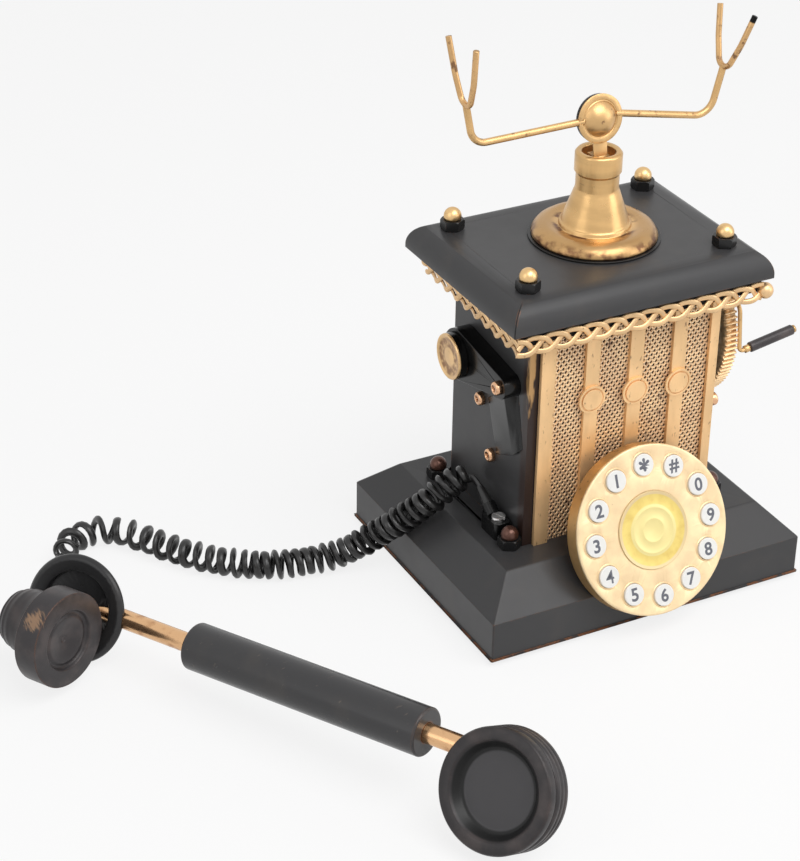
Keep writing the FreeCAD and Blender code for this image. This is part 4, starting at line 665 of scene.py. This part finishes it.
def strand(x0, x1, z0, z1, slope, rise, y):
    """A flat bar along z = rise + slope * x inside the panel, or None where the line misses it."""
    low, high = sorted(((z0 - rise) / slope, (z1 - rise) / slope))
    start = max(x0, low)
    end = min(x1, high)
    if end - start < strand_pitch / 2:
        return None
    along = Vector((1, 0, slope)).normalized()
    side = Vector((-along.z, 0, along.x)) * (strand_width / 2)
    back = Vector((0, strand_depth / 2, 0))
    vertices = []
    for x in (start, end):
        middle = Vector((x, y, rise + slope * x))
        crown = side * strand_crown
        vertices += [middle + side + back, middle + crown - back, middle - crown - back, middle - side + back]
    faces = [(k, (k + 1) % 4, (k + 1) % 4 + 4, k + 4) for k in range(4)]
    return vertices, faces + [(3, 2, 1, 0), (4, 5, 6, 7)]


def grille_lattice(finish):
    """Strands that lean both ways across the whole grille."""
    low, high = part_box("grille_mesh")
    y = (low.y + high.y) / 2
    left = low.x + lattice_inset
    right = high.x - lattice_inset
    bars = []
    for slope in (strand_slope, -strand_slope):
        reach = abs(slope) * max(abs(low.x), abs(high.x))
        rise = low.z - reach
        while rise < high.z + reach:
            bar = strand(left, right, low.z, high.z, slope, rise, y)
            if bar:
                bars.append(bar)
            rise += strand_pitch * strand_slope
    lattice = piece("grille_lattice", merged(bars), finish, "telephone")
    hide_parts("grille_mesh")


def grille_cloth(finish):
    """A dark cloth in the slots of the tower's front wall, behind the mesh."""
    low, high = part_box("grille_mesh")
    front = high.y + cloth_gap
    bottom = low.z + slot_margin + cloth_gap
    top = high.z - slot_margin - cloth_gap
    for k in range(slot_count):
        left = slot_left + k * slot_pitch
        right = left + (slot_width if k < slot_count - 1 else last_slot_width)
        cloth = box_part((left + cloth_gap, front, bottom), (right - cloth_gap, front + cloth_thickness, top))
        cloth = piece("grille_cloth_%d" % (k + 1), cloth, finish, "telephone")


# Braid trim: a flat plait of three strands, with a ball at each end

trim_left = -64.4 * mm
trim_right = 66.2 * mm
trim_front = -48.3 * mm
trim_back = 45.0 * mm
trim_middle = 150.0 * mm
strand_wide = 2.7 * mm
strand_thick = 1.5 * mm
plait_swing = 3.65 * mm
plait_weave = 0.75 * mm
plait_length = 29.9 * mm
side_turn = math.radians(-1.6)
plait_lean = 0.55
plait_fullness = 1.25
trim_ball = 3.9 * mm
back_ball = 2.6 * mm
plait_steps = 48
# Bottom and setback of the matt black sheet behind the plait, which paints the shade under the lid.
shade_sheet_low = 149.4 * mm
shade_sheet_depth = 2.9 * mm


def plait_strand(length, phase):
    """One strand along +X: it swings from edge to edge and passes over and under the others."""
    points = []
    count = int(length / plait_length * plait_steps)
    for i in range(count + 1):
        x = length * i / count
        angle = 2 * math.pi * x / plait_length + phase
        angle += plait_lean * (1 - math.cos(angle)) / 2
        swing = math.tanh(plait_fullness * math.cos(angle)) / math.tanh(plait_fullness)
        points.append(Vector((x, -plait_weave * math.sin(2 * angle), plait_swing * swing)))
    return swept(points, strand_wide, strand_thick, 12, (0, 0, 1))


def plait(length):
    """Three strands, each a third of the pattern behind the last."""
    return merged([plait_strand(length, 2 * math.pi * k / 3) for k in range(3)])


def ball(radius, middle):
    """A ball as an outline turned about Z."""
    outline = [(radius * math.sin(math.pi * k / 16), radius * math.cos(math.pi * k / 16)) for k in range(17)]
    return moved(turned(outline, 32), Matrix.Translation(middle))


def braid_trim(finish, shade_sheet_finish):
    """The plait along the front and the left side, its end balls and a matt black sheet behind it that paints
    the shade under the lid.
    """
    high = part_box("braid_trim")[1]
    inset = strand_thick / 2 + plait_weave
    front_place = Matrix.Translation((trim_left, trim_front + inset, trim_middle))
    front = moved(plait(trim_right - trim_left), front_place)
    side_place = Matrix.Translation((trim_left + inset, trim_front + strand_wide, trim_middle))
    side = moved(plait(trim_back - trim_front - strand_wide),
                 side_place @ Matrix.Rotation(math.pi / 2 + side_turn, 4, "Z"))
    back_x = trim_left + inset - math.tan(side_turn) * (trim_back - trim_front)
    ends = [ball(trim_ball, (high.x - trim_ball, trim_front + inset, trim_middle)),
            ball(back_ball, (back_x, trim_back + back_ball / 2, trim_middle + back_ball / 2))]
    braid = piece("braid", merged([front, side] + ends), finish, "telephone")
    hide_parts("braid_trim")
    # Painted shade: a matt black sheet just behind the plait, so the gaps between its loops read dark.
    corner = Vector((trim_left + shade_sheet_depth, trim_front + shade_sheet_depth, shade_sheet_low))
    front_plate = box_part(corner, (trim_right, corner.y + mm, high.z))
    side_plate = box_part((0, 0, 0), (mm, trim_back - corner.y, high.z - shade_sheet_low))
    side_plate = moved(side_plate, Matrix.Translation(corner) @ Matrix.Rotation(side_turn, 4, "Z"))
    shade_sheet = piece("braid_shade_sheet", merged([front_plate, side_plate]), shade_sheet_finish, "telephone")


# Stage and light

floor_size = 6.0
floor_cloud = 200.0
floor_tone = 0.88
floor_glow = 0.82
world_light = 0.34
world_seen = 1.0
light_target = (-0.05, 0.0, 0.08)


def seen_directly(f):
    """1 for a camera, mirror or glass ray, 0 for a ray that carries light on."""
    path = f.add("ShaderNodeLightPath")
    seen = [path.outputs[name] for name in ("Is Camera Ray", "Is Glossy Ray", "Is Transmission Ray")]
    return f.calc("MAXIMUM", f.calc("MAXIMUM", seen[0], seen[1]), seen[2])


def make_stage():
    """A pale floor that keeps the shadow and looks whiter than it lights."""
    half = floor_size / 2
    corners = [(-half, -half, 0), (half, -half, 0), (half, half, 0), (-half, half, 0)]
    mesh = bpy.data.meshes.new("floor")
    mesh.from_pydata(corners, [], [(0, 1, 2, 3)])
    f = Finish("floor")
    f.set(Base_Color=f.blend(f.noise(floor_cloud, 2.0), (floor_tone,) * 3, (floor_tone + 0.01,) * 3))
    f.set(Roughness=0.9)
    glow = f.add("ShaderNodeEmission")
    mix = f.add("ShaderNodeMixShader")
    f.feed(mix.inputs[0], f.calc("MULTIPLY", seen_directly(f), floor_glow))
    f.feed(mix.inputs[1], f.surface.outputs[0])
    f.feed(mix.inputs[2], glow.outputs[0])
    f.feed(f.tree.nodes["Material Output"].inputs["Surface"], mix.outputs[0])
    mesh.materials.append(f.material)
    floor = bpy.data.objects.new("floor", mesh)
    bpy.context.scene.collection.objects.link(floor)


def make_world():
    """White where it is seen or mirrored, dimmer as a light."""
    world = bpy.data.worlds.new("studio")
    world.use_nodes = True
    tree = world.node_tree
    ground = tree.nodes["Background"]
    ground.inputs["Color"].default_value = (1.0, 1.0, 1.0, 1.0)
    path = tree.nodes.new("ShaderNodeLightPath")
    strength = tree.nodes.new("ShaderNodeMix")
    strength.inputs[2].default_value = world_light
    strength.inputs[3].default_value = world_seen
    seen = path.outputs["Is Camera Ray"]
    for name in ("Is Glossy Ray", "Is Transmission Ray"):
        either = tree.nodes.new("ShaderNodeMath")
        either.operation = "MAXIMUM"
        tree.links.new(seen, either.inputs[0])
        tree.links.new(path.outputs[name], either.inputs[1])
        seen = either.outputs[0]
    tree.links.new(seen, strength.inputs[0])
    tree.links.new(strength.outputs[0], ground.inputs["Strength"])
    bpy.context.scene.world = world
    bpy.context.scene.view_settings.view_transform = "Standard"


def soft_light(name, place, size, power):
    """A lamp with a wide flat face, turned to the telephone; size in metres, power in watts."""
    data = bpy.data.lights.new(name, "AREA")
    data.shape = "RECTANGLE"
    data.size, data.size_y = size
    data.energy = power
    light = bpy.data.objects.new(name, data)
    bpy.context.scene.collection.objects.link(light)
    light.location = place
    light.rotation_euler = (Vector(light_target) - Vector(place)).to_track_quat("-Z", "Y").to_euler()


def make_lights():
    soft_light("top_light", (0.15, -0.75, 1.35), (1.3, 0.9), 14.5)
    soft_light("left_light", (-1.5, -0.3, 0.9), (0.8, 1.2), 3.0)
    soft_light("right_light", (1.2, -1.0, 0.6), (0.9, 1.0), 5.0)


# The finished telephone

fork_tip = Vector((75.9, -8.5, 269.2)) * mm
spring_wire = 1.0 * mm
spring_turns = 7
spring_steps = 24
# Radius and height of the knob's face in millimetres, from its middle outwards
knob_profile = [(0, 0.0), (0, 0.62), (3.0, 0.5), (5.2, 0.22), (8.0, 0.3), (9.4, 0.62), (9.9, 1.05),
                (10.5, 1.2), (11.0, 0.95), (11.2, 0.4), (11.2, 0.0)]


def finish_blacks():
    """Paint on the housing, the nuts and the left side's cover."""
    tower_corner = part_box("tower_shell")[0]
    lid_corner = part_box("lid")[0]
    clad("base_shell", black_paint("base_paint", 1.2, 0.7).material, 1.0)
    clad("lid", lid_paint(lid_corner.x, lid_corner.y).material, 0.5)
    clad("tower_shell", worn_corner_paint(tower_corner.x, tower_corner.y).material, 0.5)
    black = black_paint("parts_paint", 0.5, 0.3, 0.26, 0.25).material
    for name in ("bottom_plate", "finial_washer", "hex_nuts", "cradle_back_disc"):
        clad(name, black, 0.25)
    shiny = lacquer("lacquer").material
    for name in ("side_cover", "side_knob"):
        clad(name, shiny, 0.3)


def finish_golds():
    """Antique gold, each kind as worn and as pale as the photograph shows it, and the base's brown bolts."""
    gold = gold_paint("gold_paint", (0.60, 0.38, 0.17), 0.33, 0.55, 3.5).material
    for name in ("cradle_stem", "cradle_hub", "cradle_arms", "crank_rod"):
        clad(name, gold)
    clad("cradle_forks", fork_gold(fork_tip).material)
    clad("finial", finial_gold().material)
    clad("drive_gear", gold_paint("gear_gold", (0.82, 0.58, 0.33), 0.38, 0.3, 3.0, 0.7).material)
    strips = gold_paint("strip_gold", (0.79, 0.52, 0.265), 0.42, 0.45, 1.3, 0.5, (1, 1, 3))
    clad("grille_strips", strips.material, 0.25)
    clad("dial_drum", gold_paint("drum_gold", (0.58, 0.36, 0.15), 0.38, 0.5, 5.0).material, 0.4)
    clad("dial_face", gold_paint("face_gold", (0.87, 0.65, 0.385), 0.34, 0.0, 4.0, 0.35).material)
    clad("base_ball_bolts", gold_paint("bolt_brown", (0.10, 0.045, 0.032), 0.26, 0.3, 3.0, 0.6).material)


def finish_bare_metal():
    """Brass, copper and steel, and the crank's brown grip."""
    brass = polished("ball_brass", (0.74, 0.50, 0.24), (0.40, 0.24, 0.11), 0.34).material
    clad("lid_ball_bolts", brass)
    clad("shaft_bushes", brass)
    clad("side_eyelets", polished("eyelet_copper", (0.74, 0.44, 0.26), (0.36, 0.18, 0.09), 0.25).material)
    clad("crank_grip", worn_brown("grip_brown", 0.4, 1.8).material)
    clad("clamp_screw", polished("screw_steel", (0.85, 0.84, 0.83), (0.50, 0.49, 0.48), 0.30).material, 0.1)
    steel = polished("steel", (0.45, 0.45, 0.45), (0.25, 0.24, 0.23), 0.35).material
    for name in ("lid_frame", "pinion_shaft", "magneto_body"):
        clad(name, steel)
    return_spring(steel)


def return_spring(finish):
    """The wound spring under the plunger, fixed to the telephone."""
    low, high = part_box("cradle_spring")
    middle = (low + high) / 2
    foot = Vector((middle.x, middle.y, low.z + spring_wire / 2))
    across = (high.x - low.x - spring_wire) / 2
    climb = high.z - low.z - spring_wire
    count = spring_turns * spring_steps
    points = []
    for i in range(count + 1):
        angle = 2 * math.pi * i / spring_steps
        points.append(foot + Vector((across * math.cos(angle), across * math.sin(angle), climb * i / count)))
    wire = swept(points, spring_wire, spring_wire, 10, (0, 0, 1))
    spring = piece("return_spring", wire, finish, "telephone")
    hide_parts("cradle_spring")
    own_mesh(spring)


def knob_brass():
    """The knob face's brass, with brown painted shade in the hollow round its dome."""
    f = gold_paint("knob_brass", (0.70, 0.47, 0.24), 0.30, 0.3, 1.6, 0.85)
    radius = f.axis_distance((0, 0, 0), (0, 0, 1))
    hollow = f.calc("MULTIPLY", f.step(radius, 4.0 * mm, 5.2 * mm), f.step(radius, 9.8 * mm, 8.6 * mm))
    patchy = f.step(f.noise(3.0, 4.0), 0.25, 0.6)
    # Painted shade: patchy brown in the hollow between the dome and the rim.
    f.recolour(f.calc("MULTIPLY", hollow, patchy), knob_hollow_shade)
    return f


def knob_face(finish):
    """The knob's dished brass face, with a rolled rim and a low dome in the middle."""
    low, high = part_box("side_knob_cap")
    middle = (low + high) / 2
    reach = (high.y - low.y) / 2 / knob_profile[-1][0]
    outline = [(radius * reach, height * mm) for radius, height in knob_profile]
    place = Matrix.Translation((high.x, middle.y, middle.z)) @ Matrix.Rotation(-math.pi / 2, 4, "Y")
    face = piece("knob_face", turned(outline), finish, "knob", place)
    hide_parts("side_knob_cap")


def finish_plastics():
    """Moulded parts inside, the feet, the board and the cord's clamp."""
    black = moulded("black_plastic", (0.016, 0.016, 0.016)).material
    for name in ("hook_switch", "volume_control", "ringer_speaker", "handset_capsules"):
        clad(name, black, 0.2)
    clad("cord_clamp", lacquer("clamp_black", 0.0).material, 0.4)
    clad("rubber_feet", moulded("rubber", (0.02, 0.02, 0.02), 0.7).material)
    clad("dial_board", moulded("board", (0.03, 0.12, 0.06), 0.5).material)


def finish_handset():
    """Copper rod, black grip and saucer, brown ends."""
    clad("handset_rod", polished("rod_copper", (0.70, 0.43, 0.23), (0.34, 0.155, 0.07), 0.20).material)
    clad("handset_grip", scratched_black().material, 0.3)
    clad("saucer", black_paint("saucer_paint", 0.6, 0.35, 0.30, 0.6).material)
    ends = worn_brown("handset_brown", 0.9, 1.3).material
    for name in ("mouth_bulb", "ear_body"):
        clad(name, ends)
    clad("mouth_cap", mouth_brown().material)
    clad("ear_cap", receiver_brown_and_shade().material)


# Keypad: white keys with plain digits and a centre disc with rings

dial_middle = Vector((0, -69.0, 50.2)) * mm
dial_tilt = 23.2
key_ring = 31.4 * mm
key_proud = 1.3 * mm
collar_inner = 5.4 * mm
# Each collar's distance beyond its inner edge and its height, in millimetres
collar_profile = [(0, 0), (0, 0.25), (0.3, 0.42), (0.65, 0.25), (0.85, 0)]
ring_places = (0.30, 0.58)
ring_foot = 0.5 * mm
ring_crown = 0.2 * mm
ring_height = 0.62 * mm
disc_height = 0.42 * mm
disc_edge_height = 0.4 * mm
disc_rim_foot = 0.9 * mm
disc_rim_inner = 0.6 * mm
disc_rim_outer = 0.2 * mm
disc_rim_height = 0.66 * mm
disc_yellow = (0.88, 0.68, 0.20)
disc_ochre = (0.78, 0.56, 0.145)
disc_pale = (0.90, 0.76, 0.33)
disc_gold = (0.80, 0.62, 0.34)
digit_height = 6.4 * mm
digit_gap = 0.02 * mm
digit_boldness = 0.00026
four_boldness = 0.00005
dial_place = Matrix.Translation(dial_middle) @ Matrix.Rotation(math.radians(90 - dial_tilt), 4, "X")
keys = [("star", "*"), ("hash", "#"), ("0", "0"), ("9", "9"), ("8", "8"), ("7", "7"), ("6", "6"), ("5", "5"),
        ("4", "4"), ("3", "3"), ("2", "2"), ("1", "1")]


def key_digit(name, sign, angle, ink):
    """A thin printed sign on the key's top, centred by its own outline; a bold 4 would close its eye."""
    curve = bpy.data.curves.new("digit_" + name, "FONT")
    curve.body = sign
    curve.size = 0.01
    curve.offset = four_boldness if sign == "4" else digit_boldness
    curve.resolution_u = 6
    shape = bpy.data.objects.new("digit_" + name, curve)
    mesh = bpy.data.meshes.new_from_object(shape)
    bpy.data.objects.remove(shape)
    low = Vector([min(v.co[k] for v in mesh.vertices) for k in range(3)])
    high = Vector([max(v.co[k] for v in mesh.vertices) for k in range(3)])
    scale = digit_height / (high.y - low.y)
    spot = Vector((key_ring * math.cos(angle), key_ring * math.sin(angle), key_proud + digit_gap))
    centre = Matrix.Translation(-(low + high) / 2)
    mesh.transform(dial_place @ Matrix.Translation(spot) @ Matrix.Scale(scale, 4) @ centre)
    mesh.materials.clear()
    mesh.materials.append(ink)
    thing = bpy.data.objects.new("digit_" + name, mesh)
    bpy.context.scene.collection.objects.link(thing)
    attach(thing, "key_%s_body" % name)


def disc_paint(r):
    """The disc's gold rim and mottled yellow field, paler in the middle."""
    f = Finish("disc_gold")
    radius = f.axis_distance((0, 0, 0), (0, 0, 1))
    field = f.step(radius, 0.925 * r, 0.895 * r)
    mottle = f.step(f.noise(5.0, 3.0), 0.40, 0.80)
    pale = f.step(radius, 0.68 * r, 0.64 * r)
    yellow = f.blend(pale, f.blend(mottle, disc_yellow, disc_ochre), disc_pale)
    f.set(Base_Color=f.blend(field, disc_gold, yellow))
    f.set(Metallic=0.15)
    f.set(Roughness=f.calc("ADD", f.calc("MULTIPLY", f.noise(2.0, 4.0), 0.2), 0.28))
    f.relief(f.noise(1.2, 3.0), 0.02, 0.4)
    return f


def centre_disc():
    """A disc with two raised rings and a raised rim, plain in the middle."""
    low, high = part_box("dial_centre_disc")
    r = (high.x - low.x) / 2
    outline = [(0, 0.0), (0, disc_height)]
    for ring in ring_places:
        outline += [(ring * r - ring_foot, disc_height), (ring * r - ring_crown, ring_height),
                    (ring * r + ring_crown, ring_height), (ring * r + ring_foot, disc_height)]
    outline += [(r - disc_rim_foot, disc_height), (r - disc_rim_inner, disc_rim_height),
                (r - disc_rim_outer, disc_rim_height), (r, disc_edge_height), (r, 0.0)]
    disc = piece("centre_disc", turned(outline), disc_paint(r).material, "telephone", dial_place)
    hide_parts("dial_centre_disc")


def key_collar(name, angle, finish):
    """A thin raised ring on the face round one key."""
    outline = [(collar_inner + out * mm, height * mm) for out, height in collar_profile]
    spot = Matrix.Translation((key_ring * math.cos(angle), key_ring * math.sin(angle), 0))
    collar = piece("collar_" + name, moved(turned(outline, 48), dial_place @ spot), finish, "telephone")


def make_keys():
    """The keys in a ring, clockwise from the star at the top, each with its sign and collar."""
    white = key_white().material
    ink = digit_ink().material
    rim = gold_paint("collar_gold", (0.84, 0.62, 0.36), 0.34, 0.0, 4.0, 0.35).material
    for i, (name, sign) in enumerate(keys):
        clad("key_" + name, white)
        angle = math.radians(90 - 360 / len(keys) * i)
        key_digit(name, sign, angle, ink)
        key_collar(name, angle, rim)


make_camera()
make_stage()
make_world()
make_lights()
finish_blacks()
finish_golds()
finish_bare_metal()
finish_plastics()
finish_handset()
knob_face(knob_brass().material)
make_keys()
centre_disc()
grille_lattice(gold_paint("lattice_gold", (0.86, 0.61, 0.38), 0.45, 0.55, 6.0, 0.45).material)
grille_cloth(moulded("cloth", (0.050, 0.026, 0.016), 0.9).material)
# The plait's gold, and matt black for the sheet behind it that paints shade.
braid_trim(gold_paint("braid_gold", (0.70, 0.47, 0.25), 0.36, 0.3, 2.5, 0.7).material,
           moulded("shade_sheet", (0.004, 0.004, 0.004), 0.8).material)
curly_cord(glossy_cord().material)
